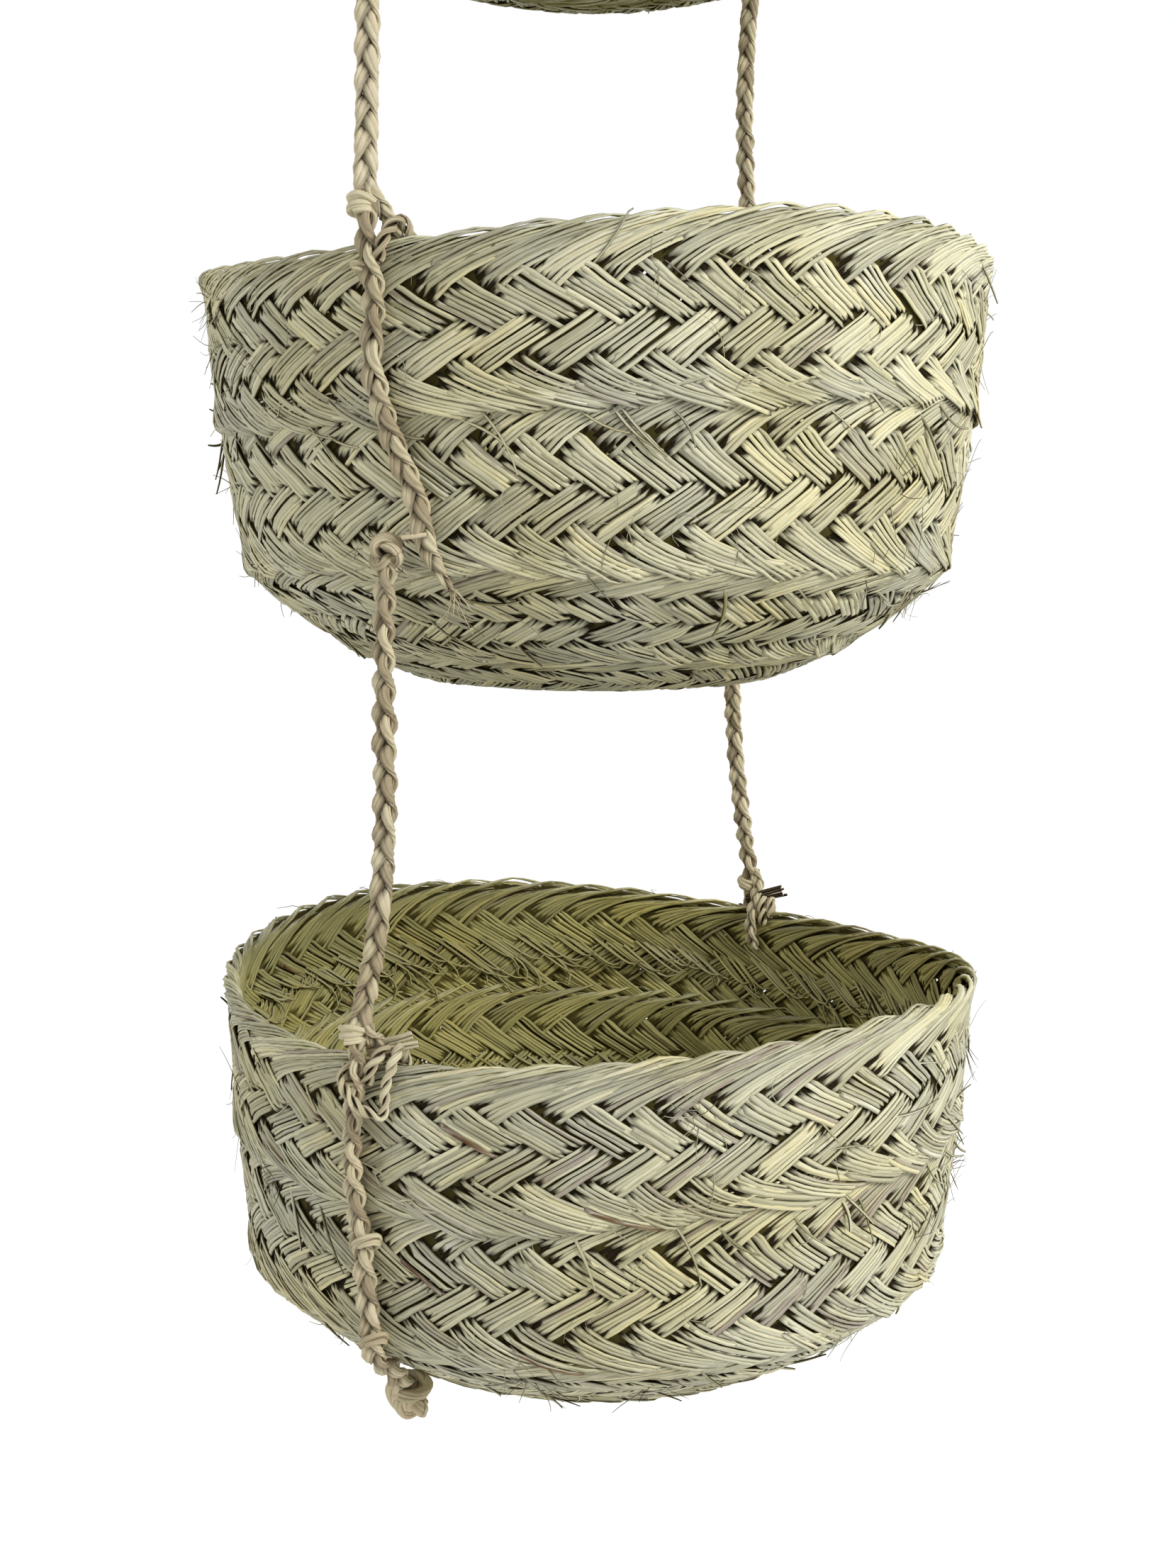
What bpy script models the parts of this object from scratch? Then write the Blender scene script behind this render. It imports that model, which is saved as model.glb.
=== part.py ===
"""Tiered hanging basket: three plaited grass baskets, one under the other, on two braided palm ropes.

The origin is the point inside the hanging loop where the hook bears. The ropes lie on the -Y side
(front) and the +Y side (back), and everything hangs towards -Z. Each empty stands on a hinge axis.
"""

import math

import bmesh
import bpy
from mathutils import Vector

# Plaited baskets, in metres
RIM_RADIUS = 0.150
WALL_HEIGHT = 0.112
BASE_DROP = 0.044
FLAT_RADIUS = 0.066
PLAIT_THICKNESS = 0.0045
SEWING_CORD = 0.0016
SADDLE_RISE = 0.0065
TIER_PITCH = 0.270

# Ropes and knots
ROPE_DIAMETER = 0.009
TAIL_TIP_DIAMETER = 0.0032
TAIL_FLARE = 0.0042
KNOT_DIAMETER = 0.0155
CROWN_KNOT_DIAMETER = 0.022
SEAM_KNOT_RISE = 0.009
WALL_ROPE_DRIFT = 0.0024

# Hanging loop above the top basket
LOOP_INNER_WIDTH = 0.028
LOOP_INNER_HEIGHT = 0.046
BINDING_LENGTH = 0.022
BINDING_WALL = 0.0030
NECK_LENGTH = 0.014
NECK_DIAMETER = 0.0125
NECK_WAIST_DIAMETER = 0.0107
CROWN_DROP = 0.190

# Clearance between pieces that touch on the real object
FIT_GAP = 0.0003

# How far each wall draws in from the rim's radius at its waist and at its lower seam, and how far its
# rim is pressed oval
BASKETS = {
    "top": {"waist_inset": 0.0038, "seam_inset": 0.0110, "oval": 0.0},
    "middle": {"waist_inset": 0.0042, "seam_inset": 0.0135, "oval": 0.0},
    "lower": {"waist_inset": 0.0028, "seam_inset": 0.0085, "oval": 0.0035},
}

# Shapes given as shares, and counts
UPPER_SEAM_SHARE = 0.52
BASE_ROUNDING = 1.575
SADDLE_PHASE = math.radians(-16)
ROPE_AZIMUTHS = {"front": -math.pi / 2, "back": math.pi / 2}
END_KNOT_SHARE = 0.47
WRAP_GROOVE_SHARE = 0.13
KNOT_POLE_SHARE = 0.34
KNOT_WRAPS = 3
BINDING_WRAPS = 5
SLOPE_STEP_SHARE = 0.005
EDGE_STEP_SHARE = 0.0005
MERGE_SHARE = 0.01
RING_STEPS = 40
KNOT_STEPS = 12
BINDING_STEPS = 14
LOOP_STEPS = 8
SPAN_STEPS = 4
CORD_SIDES = 4
TUBE_STEPS = 2
SMOOTH_ANGLE = math.radians(40)
LOOP_TUCK_ANGLE = math.radians(10)

# The wall rope's way down: shares of the depth to the seam knot, each with its share of the drift
WALL_SWAY_SHARES = ((0.0, 0.0), (0.2, 0.55), (0.4, -0.35), (0.6, 0.6), (0.8, 0.0))
# A rope with a tail turns aside below its third place: shares of the depth and of the step past the knot
TAIL_TURN_SHARES = ((0.6, 0.25), (0.82, 0.8), (1.0, 1.0))
TAIL_END_SHARE = 0.12
END_ROPE_SHARES = (0.16, 0.27)

ROPE_RADIUS = ROPE_DIAMETER / 2
KNOT_RADIUS = KNOT_DIAMETER / 2
CROWN_RADIUS = CROWN_KNOT_DIAMETER / 2
CORD_RADIUS = SEWING_CORD / 2
HALF_PLAIT = PLAIT_THICKNESS / 2
EDGE_REACH = HALF_PLAIT * math.sin(math.pi / 4)
EDGE_TO_CORD = CORD_RADIUS + FIT_GAP + EDGE_REACH
ROPE_STANDOFF = ROPE_RADIUS + FIT_GAP
KNOT_STANDOFF = KNOT_RADIUS + FIT_GAP
SEAM_KNOT_SHARE = (WALL_HEIGHT - SEAM_KNOT_RISE) / WALL_HEIGHT


def clear_scene():
    for obj in list(bpy.data.objects):
        bpy.data.objects.remove(obj, do_unlink=True)


def material(name, colour, roughness):
    made = bpy.data.materials.new(name)
    made.use_nodes = True
    shader = made.node_tree.nodes["Principled BSDF"]
    shader.inputs["Base Color"].default_value = (*colour, 1)
    shader.inputs["Roughness"].default_value = roughness
    shader.inputs["Metallic"].default_value = 0
    return made


def pivot(name, location, parent=None):
    """An empty on a hinge axis. location is in the parent's frame."""
    empty = bpy.data.objects.new(name, None)
    empty.empty_display_size = ROPE_DIAMETER
    empty.parent = parent
    empty.location = location
    bpy.context.scene.collection.objects.link(empty)
    return empty


def add_object(name, data, parent, finish):
    obj = bpy.data.objects.new(name, data)
    obj.data.materials.append(finish)
    obj.parent = parent
    bpy.context.scene.collection.objects.link(obj)
    return obj


def mesh_object(name, bm, parent, finish):
    bmesh.ops.recalc_face_normals(bm, faces=bm.faces)
    mesh = bpy.data.meshes.new(name)
    bm.to_mesh(mesh)
    bm.free()
    mesh.shade_smooth()
    mesh.set_sharp_from_angle(angle=SMOOTH_ANGLE)
    return add_object(name, mesh, parent, finish)


def turned(outline, steps):
    """The bmesh of a closed (radius, height) outline turned about Z. Points on the axis meet in one."""
    bm = bmesh.new()
    ring = [bm.verts.new((radius, 0, height)) for radius, height in outline]
    closed = all(radius > 0 for radius, _ in outline)
    pairs = zip(ring, ring[1:] + ring[:1]) if closed else zip(ring, ring[1:])
    edges = [bm.edges.new(pair) for pair in pairs]
    bmesh.ops.spin(
        bm, geom=ring + edges, cent=(0, 0, 0), axis=(0, 0, 1), angle=2 * math.pi, steps=steps, use_merge=True
    )
    bmesh.ops.remove_doubles(bm, verts=bm.verts, dist=FIT_GAP * MERGE_SHARE)
    return bm


def smooth_route(places, spacing):
    """Evenly spaced points on a smooth curve through the places."""
    ends = [2 * places[0] - places[1], *places, 2 * places[-1] - places[-2]]
    fine = []
    for before, start, stop, after in zip(ends, ends[1:], ends[2:], ends[3:]):
        count = max(2, math.ceil((stop - start).length / spacing * 4))
        for index in range(count):
            t = index / count
            fine.append(
                ((2 * start) + (stop - before) * t + (2 * before - 5 * start + 4 * stop - after) * t**2
                 + (3 * start - before - 3 * stop + after) * t**3) / 2
            )
    fine.append(places[-1])
    length = sum((b - a).length for a, b in zip(fine, fine[1:]))
    spans = max(2, round(length / spacing))
    route, walked, wanted = [fine[0]], 0, 1
    for a, b in zip(fine, fine[1:]):
        step = (b - a).length
        while wanted < spans and walked + step >= length * wanted / spans:
            route.append(a.lerp(b, (length * wanted / spans - walked) / step))
            wanted += 1
        walked += step
    return [*route, fine[-1]]


def rope(name, route, parent, finish, tip=ROPE_RADIUS, tail=0):
    """A tube along the route. Its last points, tail of them, taper to the tip's radius."""
    curve = bpy.data.curves.new(name, "CURVE")
    curve.dimensions = "3D"
    curve.bevel_depth = ROPE_RADIUS
    curve.bevel_resolution = TUBE_STEPS
    curve.use_fill_caps = True
    spline = curve.splines.new("POLY")
    spline.points.add(len(route) - 1)
    for index, (point, place) in enumerate(zip(spline.points, route)):
        point.co = (*place, 1)
        into_tail = max(0, index - (len(route) - 1 - tail))
        point.radius = 1 if not tail else 1 + (tip / ROPE_RADIUS - 1) * into_tail / tail
    return add_object(name, curve, parent, finish)


# The outer surface of a basket, with its rim in the plane z = 0


def wall_outline(basket, share):
    """(radius, height) on the outside of the wall, from the rim at 0 to the lower seam at 1."""
    inset = 4 * share * (1 - share) * basket["waist_inset"] + share * (2 * share - 1) * basket["seam_inset"]
    return Vector((RIM_RADIUS - inset, -WALL_HEIGHT * share))


def base_outline(basket, share):
    """(radius, height) on the outside of the base, from the lower seam at 0 to the flat at 1."""
    angle = share * math.pi / 2
    seam = RIM_RADIUS - basket["seam_inset"]
    radius = FLAT_RADIUS + (seam - FLAT_RADIUS) * max(0, math.cos(angle)) ** BASE_ROUNDING
    return Vector((radius, -WALL_HEIGHT - BASE_DROP * math.sin(angle) ** BASE_ROUNDING))


def inward(outline, basket, share):
    """The unit direction from the outside of the outline to its inside."""
    before, after = max(0, share - SLOPE_STEP_SHARE), min(1, share + SLOPE_STEP_SHARE)
    along = outline(basket, after) - outline(basket, before)
    return Vector((along.y, -along.x)).normalized()


def at_depth(outline, basket, share, depth):
    return outline(basket, share) + inward(outline, basket, share) * depth


def share_beyond(outline, basket, centre, distance, start, step):
    """The first share whose mid-plait point lies the distance from a sewing cord's centre. Edges are
    round, but for a flat at the cord."""
    share = start
    while (at_depth(outline, basket, share, HALF_PLAIT) - centre).length < distance:
        share += step
    return share


def band(points, directions):
    """The outline of a plait course: mid-plait points thickened to both sides, with round edges."""
    outer = [point - side * HALF_PLAIT for point, side in zip(points, directions)]
    inner = [point + side * HALF_PLAIT for point, side in zip(points, directions)]

    def edge(centre, side):
        for quarter in (1, 3):
            across, along = math.cos(quarter * math.pi / 4), math.sin(quarter * math.pi / 4)
            yield centre + HALF_PLAIT * Vector(
                (side.x * across + side.y * along, side.y * across - side.x * along)
            )

    last = list(edge(points[-1], -directions[-1]))
    first = list(edge(points[0], directions[0]))
    return outer + last + inner[::-1] + first


def course(basket, start, stop, steps):
    shares = [start + (stop - start) * index / steps for index in range(steps + 1)]
    points = [at_depth(wall_outline, basket, share, HALF_PLAIT) for share in shares]
    directions = [inward(wall_outline, basket, share) for share in shares]
    return band(points, directions)


def base(basket, start, steps):
    """The base's outline, open at the axis: down the outside, across the flat and back up inside."""
    shares = [start + (1 - start) * index / steps for index in range(steps + 1)]
    points = [at_depth(base_outline, basket, share, HALF_PLAIT) for share in shares]
    directions = [inward(base_outline, basket, share) for share in shares]
    ring = band(points, directions)
    outer, inner, edge = ring[: steps + 1], ring[steps + 3 : -2], ring[-2:]
    floor = -WALL_HEIGHT - BASE_DROP
    outer[-1] = Vector((FLAT_RADIUS, floor))
    inner[0] = Vector((FLAT_RADIUS - HALF_PLAIT, floor + PLAIT_THICKNESS))
    return [Vector((0, floor)), *outer[::-1], *edge[::-1], *inner[::-1], Vector((0, floor + PLAIT_THICKNESS))]


def warped(basket, place):
    """Presses a place on a round basket into its rim's saddle and oval, which fade down the wall."""
    radius = math.hypot(place.x, place.y)
    if radius == 0:
        return place
    fade = min(1, max(0, 1 + place.z / WALL_HEIGHT))
    wave = fade * math.cos(2 * (math.atan2(place.y, place.x) - SADDLE_PHASE))
    stretch = 1 + basket["oval"] * wave / radius
    return Vector((place.x * stretch, place.y * stretch, place.z + SADDLE_RISE * wave))


def on_surface(basket, point, azimuth):
    return warped(basket, Vector((point.x * math.cos(azimuth), point.x * math.sin(azimuth), point.y)))


def rim_knot_place(basket, azimuth):
    """The centre of a rim knot: it sits on the rim, in line with the rope outside the wall."""
    radius = RIM_RADIUS + ROPE_STANDOFF
    return warped(basket, Vector((0, math.copysign(radius, azimuth), 0))) + Vector((0, 0, KNOT_STANDOFF))


def seam_knot_place(basket, azimuth):
    """The centre of a seam knot, outside the wall just above its lower seam."""
    point = at_depth(wall_outline, basket, SEAM_KNOT_SHARE, -KNOT_STANDOFF)
    return on_surface(basket, point, azimuth)


def end_knot_place(basket, azimuth):
    return on_surface(basket, at_depth(base_outline, basket, END_KNOT_SHARE, -KNOT_STANDOFF), azimuth)


# Pieces


def make_course(name, basket, outline, rim_plane, parent, finish):
    bm = turned(outline, RING_STEPS)
    for vert in bm.verts:
        vert.co = warped(basket, vert.co) + rim_plane
    mesh_object(name, bm, parent, finish)


def make_sewing(name, basket, centre, rim_plane, parent, finish):
    """The cord that is laced between two plait edges."""
    turns = [2 * math.pi * side / CORD_SIDES for side in range(CORD_SIDES)]
    outline = [centre + CORD_RADIUS * Vector((math.cos(turn), math.sin(turn))) for turn in turns]
    make_course(name, basket, outline, rim_plane, parent, finish)


def make_basket(name, rim_plane, parent, grass, thread):
    """Two wall courses and a base, sewn edge to edge. rim_plane is the rim's centre in the parent's frame."""
    basket = BASKETS[name]
    upper_cord = at_depth(wall_outline, basket, UPPER_SEAM_SHARE, HALF_PLAIT)
    lower_cord = at_depth(wall_outline, basket, 1, HALF_PLAIT)
    step = EDGE_STEP_SHARE
    rim_start = EDGE_REACH / WALL_HEIGHT
    rim_stop = share_beyond(wall_outline, basket, upper_cord, EDGE_TO_CORD, UPPER_SEAM_SHARE, -step)
    wall_start = share_beyond(wall_outline, basket, upper_cord, EDGE_TO_CORD, UPPER_SEAM_SHARE, step)
    wall_stop = share_beyond(wall_outline, basket, lower_cord, EDGE_TO_CORD, 1, -step)
    base_start = share_beyond(base_outline, basket, lower_cord, EDGE_TO_CORD, 0, step)
    outlines = {
        "rim_course": course(basket, rim_start, rim_stop, 2),
        "wall_course": course(basket, wall_start, wall_stop, 2),
        "base": base(basket, base_start, 4),
    }
    for piece, outline in outlines.items():
        make_course(f"{name}_{piece}", basket, outline, rim_plane, parent, grass)
    make_sewing(f"{name}_sewing_upper", basket, upper_cord, rim_plane, parent, thread)
    make_sewing(f"{name}_sewing_lower", basket, lower_cord, rim_plane, parent, thread)


def make_knot(name, radius, location, parent, finish):
    """A ball knot of a few wraps about the rope's line, with a flat at each end where the rope goes in."""
    count = 2 * KNOT_WRAPS
    half_span = math.acos(KNOT_POLE_SHARE)
    outline = [(0, -radius * math.sin(half_span))]
    for index in range(count + 1):
        angle = half_span * (2 * index / count - 1)
        reach = radius * (1 - WRAP_GROOVE_SHARE * (index % 2 == 0 and 0 < index < count))
        outline.append((reach * math.cos(angle), reach * math.sin(angle)))
    outline.append((0, radius * math.sin(half_span)))
    obj = mesh_object(name, turned(outline, KNOT_STEPS), parent, finish)
    obj.location = location
    return obj


def make_wall_rope(name, tier, azimuth, rim_plane, parent, finish):
    """The rope sewn down the wall. It passes the seam knot at its +X side and ends in a frayed tail."""
    basket = BASKETS[tier]
    across = -math.copysign(1, azimuth)
    beside_knot = KNOT_STANDOFF + ROPE_RADIUS

    def place(outline, share, drift, standoff):
        point = at_depth(outline, basket, share, -standoff)
        return on_surface(basket, point, azimuth + across * drift / point.x) + rim_plane

    def down(shares, side_step):
        """Places down the wall, from shares of the depth to the seam knot and of a step to the side."""
        steps = [(SEAM_KNOT_SHARE * depth, side_step * aside) for depth, aside in shares]
        return [place(wall_outline, share, step, ROPE_STANDOFF) for share, step in steps]

    if tier != "lower":
        tail_radius = TAIL_TIP_DIAMETER / 2
        turn = len(TAIL_TURN_SHARES)
        places = down(WALL_SWAY_SHARES[:turn], WALL_ROPE_DRIFT) + down(TAIL_TURN_SHARES, beside_knot)
        places.append(place(base_outline, TAIL_END_SHARE, beside_knot + TAIL_FLARE, tail_radius + FIT_GAP))
        return rope(name, smooth_route(places, ROPE_DIAMETER), parent, finish, tip=tail_radius, tail=2)
    places = down(WALL_SWAY_SHARES, WALL_ROPE_DRIFT)
    places.append(place(wall_outline, 1, 0, ROPE_STANDOFF))
    places += [place(base_outline, share, 0, ROPE_STANDOFF) for share in END_ROPE_SHARES]
    knot = end_knot_place(basket, azimuth) + rim_plane
    direction = (knot - places[-1]).normalized()
    places.append(knot - direction * KNOT_STANDOFF)
    return rope(name, smooth_route(places, ROPE_DIAMETER), parent, finish)


def make_span(name, start, stop, upper, lower, finish):
    """A free stretch of rope between two knots, in halves that meet at the fold.

    The stretch bows towards -X by its own radius, so the fold's axis lies on its surface and on the
    line between the knots. start, stop and the routes are in the upper half's frame, whose origin is
    on the knots' axis. lower is the pivot of the lower half, on the fold's axis.
    """
    length = (stop - start).length

    def place(share):
        return start.lerp(stop, share) - Vector((ROPE_RADIUS * math.sin(math.pi * share), 0, 0))

    free = KNOT_STANDOFF / length
    half_gap = FIT_GAP / 2 / length
    halves = {"upper": (free, 1 / 2 - half_gap, upper), "lower": (1 / 2 + half_gap, 1 - free, lower)}
    for half, (first, last, parent) in halves.items():
        places = [place(first + (last - first) * index / SPAN_STEPS) for index in range(SPAN_STEPS + 1)]
        shift = lower.location if half == "lower" else Vector((0, 0, 0))
        stem, side = name.rsplit("_", 1)
        route = smooth_route([point - shift for point in places], ROPE_DIAMETER)
        rope(f"{stem}_{half}_{side}", route, parent, finish)


def make_loop(parent, finish):
    """The hanging loop: one rope bent over, with its legs side by side in the binding."""
    arc_radius = LOOP_INNER_WIDTH / 2 + ROPE_RADIUS
    arc_centre = ROPE_RADIUS - arc_radius
    leg = ROPE_RADIUS + FIT_GAP / 2
    foot = -LOOP_INNER_HEIGHT - BINDING_LENGTH
    heights = (foot, foot + BINDING_LENGTH / 2, -LOOP_INNER_HEIGHT, ROPE_RADIUS - LOOP_INNER_HEIGHT)
    half = [Vector((-leg, 0, height)) for height in heights]
    sweep = math.pi + 2 * LOOP_TUCK_ANGLE
    turns = [math.pi + LOOP_TUCK_ANGLE - sweep * index / LOOP_STEPS for index in range(LOOP_STEPS + 1)]
    arc = [Vector((arc_radius * math.cos(t), 0, arc_centre + arc_radius * math.sin(t))) for t in turns]
    places = half + arc + [Vector((-p.x, 0, p.z)) for p in half[::-1]]
    rope("hanging_loop", smooth_route(places, ROPE_DIAMETER), parent, finish)


def make_binding(parent, finish):
    """The whipping round both legs of the loop, as one sleeve with a round for each turn of cord."""
    inner = ROPE_RADIUS + FIT_GAP
    top = -LOOP_INNER_HEIGHT
    outline = [(inner, top - BINDING_LENGTH), (inner, top)]
    for index in range(2 * BINDING_WRAPS + 1):
        height = top - BINDING_LENGTH * index / (2 * BINDING_WRAPS)
        outline.append((inner + BINDING_WALL * (1 if index % 2 else 1 / 2), height))
    bm = turned(outline, BINDING_STEPS)
    for vert in bm.verts:
        vert.co.x += math.copysign(ROPE_RADIUS + FIT_GAP / 2, vert.co.x)
    mesh_object("loop_binding", bm, parent, finish)


def make_neck(parent, finish):
    """The doubled rope between the binding and the crown knot, drawn in at its middle."""
    radius = NECK_DIAMETER / 2
    waist = NECK_WAIST_DIAMETER / 2
    radii = [radius, waist, radius, waist, radius]
    heights = [-NECK_LENGTH * index / (len(radii) - 1) for index in range(len(radii))]
    outline = [(0, 0), *zip(radii, heights), (0, -NECK_LENGTH)]
    mesh_object("crown_neck", turned(outline, KNOT_STEPS), parent, finish)


def build():
    clear_scene()
    grass = material("plaited_grass", (0.46, 0.47, 0.28), 0.75)
    thread = material("sewing_cord", (0.60, 0.56, 0.38), 0.8)
    palm = material("palm_rope", (0.52, 0.42, 0.28), 0.7)

    hook = pivot("hook_point", (0, 0, 0))
    make_loop(hook, palm)
    make_binding(hook, palm)
    neck = pivot("neck_twist_axis", (0, 0, -LOOP_INNER_HEIGHT - BINDING_LENGTH - FIT_GAP), hook)
    make_neck(neck, palm)
    crown = pivot("crown_axes", (0, 0, -NECK_LENGTH - FIT_GAP - CROWN_RADIUS), neck)
    make_knot("crown_knot", CROWN_RADIUS, (0, 0, 0), crown, palm)

    top = BASKETS["top"]
    for side, azimuth in ROPE_AZIMUTHS.items():
        knot = rim_knot_place(top, azimuth)
        stop = Vector((0, knot.y, -CROWN_DROP))
        direction = stop.normalized()
        ends = [direction * (CROWN_RADIUS + FIT_GAP), stop - direction * KNOT_STANDOFF]
        rope(f"crown_rope_{side}", smooth_route(ends, 2 * ROPE_DIAMETER), crown, palm)

    rim_axis = pivot("top_rim_axis", (0, 0, -CROWN_DROP), crown)
    names = list(BASKETS)
    for tier, name in enumerate(names):
        basket = BASKETS[name]
        rim_plane = Vector((0, 0, -rim_knot_place(basket, ROPE_AZIMUTHS["front"]).z))
        make_basket(name, rim_plane, rim_axis, grass, thread)
        last = tier == len(names) - 1
        for side, azimuth in ROPE_AZIMUTHS.items():
            knot = rim_knot_place(basket, azimuth) + rim_plane
            make_knot(f"{name}_rim_knot_{side}", KNOT_RADIUS, knot, rim_axis, palm)
            make_wall_rope(f"{name}_wall_rope_{side}", name, azimuth, rim_plane, rim_axis, palm)
            if last:
                knot = end_knot_place(basket, azimuth) + rim_plane
                make_knot(f"{name}_end_knot_{side}", KNOT_RADIUS, knot, rim_axis, palm)
        if last:
            break

        below = BASKETS[names[tier + 1]]
        seam_depth = (seam_knot_place(basket, ROPE_AZIMUTHS["front"]) + rim_plane).z
        seam_axis = pivot(f"{name}_seam_axis", (0, 0, seam_depth), rim_axis)
        drop = rim_knot_place(below, ROPE_AZIMUTHS["front"]).z + rim_plane.z - TIER_PITCH - seam_depth
        fold_axis = pivot(f"{names[tier + 1]}_fold_axis", (0, 0, drop / 2), seam_axis)
        for side, azimuth in ROPE_AZIMUTHS.items():
            knot = seam_knot_place(basket, azimuth) + rim_plane
            make_knot(f"{name}_seam_knot_{side}", KNOT_RADIUS, knot, rim_axis, palm)
            start = Vector((0, knot.y, 0))
            stop = Vector((0, rim_knot_place(below, azimuth).y, drop))
            make_span(f"{names[tier + 1]}_rope_{side}", start, stop, seam_axis, fold_axis, palm)
        rim_axis = pivot(f"{names[tier + 1]}_rim_axis", (0, 0, drop / 2), fold_axis)


build()
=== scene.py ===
# Tiered hanging basket: plaited grass bowls on braided palm ropes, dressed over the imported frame.
import math

import bmesh
import bpy
import numpy as np
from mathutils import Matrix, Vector


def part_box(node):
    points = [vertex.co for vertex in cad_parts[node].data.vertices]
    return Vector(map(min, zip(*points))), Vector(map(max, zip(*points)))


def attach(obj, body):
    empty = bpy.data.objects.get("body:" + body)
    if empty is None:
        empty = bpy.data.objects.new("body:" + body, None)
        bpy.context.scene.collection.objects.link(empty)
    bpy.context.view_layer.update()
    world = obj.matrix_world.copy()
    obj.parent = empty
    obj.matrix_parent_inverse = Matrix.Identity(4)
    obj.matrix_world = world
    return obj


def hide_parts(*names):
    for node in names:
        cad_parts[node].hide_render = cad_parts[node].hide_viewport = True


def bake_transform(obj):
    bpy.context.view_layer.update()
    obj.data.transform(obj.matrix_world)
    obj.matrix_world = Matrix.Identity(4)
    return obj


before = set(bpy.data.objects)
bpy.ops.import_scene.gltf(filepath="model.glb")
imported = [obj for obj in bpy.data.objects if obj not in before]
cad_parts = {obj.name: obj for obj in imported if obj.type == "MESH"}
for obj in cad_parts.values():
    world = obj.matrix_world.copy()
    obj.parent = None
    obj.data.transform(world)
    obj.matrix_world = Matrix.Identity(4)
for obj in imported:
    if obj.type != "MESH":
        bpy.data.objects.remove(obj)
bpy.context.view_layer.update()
rng = np.random.default_rng(11)
scene = bpy.context.scene

# Objects and nodes


def newObject(name, data):
    obj = bpy.data.objects.new(name, data)
    scene.collection.objects.link(obj)
    return obj


def newMaterial(name):
    material = bpy.data.materials.new(name)
    material.use_nodes = True
    tree = material.node_tree
    return material, tree, tree.nodes["Principled BSDF"]


# Fills a node's sockets, by name or number, with links from other sockets or with plain values.
def feed(tree, node, inputs):
    for key, value in inputs.items():
        if isinstance(value, bpy.types.NodeSocket):
            tree.links.new(value, node.inputs[key])
        else:
            node.inputs[key].default_value = value


def addNode(tree, kind, inputs=None, **settings):
    node = tree.nodes.new("ShaderNode" + kind)
    for key, value in settings.items():
        setattr(node, key, value)
    feed(tree, node, inputs or {})
    return node


def mathNode(tree, operation, first, second, clamp=False):
    return addNode(tree, "Math", {0: first, 1: second}, operation=operation, use_clamp=clamp).outputs[0]


def mixColour(tree, share, first, second, blend="MIX"):
    first, second = ((*value, 1) if isinstance(value, tuple) else value for value in (first, second))
    return addNode(tree, "Mix", {0: share, 6: first, 7: second}, data_type="RGBA", blend_type=blend).outputs[2]


def ramp(tree, value, stops):
    node = addNode(tree, "ValToRGB", {0: value})
    elements = node.color_ramp.elements
    while len(elements) < len(stops):
        elements.new(0.5)
    for element, (place, colour) in zip(elements, stops):
        element.position = place
        element.color = (*colour, 1)
    return node.outputs[0]


# A colour as it shows on screen, 0 to 255, in the shader's own scale.
def linear(*screen):
    return tuple((c / 255 / 12.92) if c <= 10 else ((c / 255 + 0.055) / 1.055) ** 2.4 for c in screen)


# Camera, floor and light

view = {
    "eye": (0.3480, -0.6346, -0.651),
    "turn": 29.0,  # degrees from the front
    "dip": 8.23,  # degrees below level
    "lens": 41.55,
    "sensor": 36,
    "near": 0.01,
    "far": 60,
}
ground = {
    "height": -1.35,
    "reach": 14,
    "colour": (0.9, 0.9, 0.9, 1),
    "rough": 0.9,
    "gloss": 0.1,
    "glow": 1.42,
    "glowShare": 0.62,
}
lamps = {
    "worldLevel": 0.40,
    "aim": (0, 0, -0.62),
    "discs": {
        "key": {"place": (2.15, -0.25, 0.45), "size": 0.9, "watts": 47},
        "fill": {"place": (-1.6, -1.4, 0.15), "size": 0.6, "watts": 13},
        "back": {"place": (0.3, 2.0, 0.6), "size": 1.6, "watts": 12},
    },
}


def makeCamera():
    data = bpy.data.cameras.new("camera")
    data.lens, data.sensor_width = view["lens"], view["sensor"]
    data.clip_start, data.clip_end = view["near"], view["far"]
    camera = newObject("camera", data)
    camera.location = view["eye"]
    camera.rotation_euler = (math.radians(90 - view["dip"]), 0, math.radians(view["turn"]))
    scene.camera = camera


# A pale floor that glows for the camera alone and keeps the object's shadow
def makeFloor():
    bm = bmesh.new()
    bmesh.ops.create_grid(bm, x_segments=1, y_segments=1, size=ground["reach"])
    bmesh.ops.translate(bm, verts=bm.verts, vec=(0, 0, ground["height"]))
    mesh = bpy.data.meshes.new("floor")
    bm.to_mesh(mesh)
    bm.free()
    material, tree, shader = newMaterial("floorPale")
    feed(tree, shader, {"Base Color": ground["colour"], "Roughness": ground["rough"]})
    feed(tree, shader, {"Specular IOR Level": ground["gloss"]})
    glow = addNode(tree, "Emission", {"Color": (1, 1, 1, 1), "Strength": ground["glow"]})
    path = addNode(tree, "LightPath")
    share = mathNode(tree, "MULTIPLY", path.outputs["Is Camera Ray"], ground["glowShare"])
    mix = addNode(tree, "MixShader", {0: share, 1: shader.outputs[0], 2: glow.outputs[0]})
    feed(tree, tree.nodes["Material Output"], {"Surface": mix.outputs[0]})
    mesh.materials.append(material)
    newObject("floor", mesh)


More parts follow.
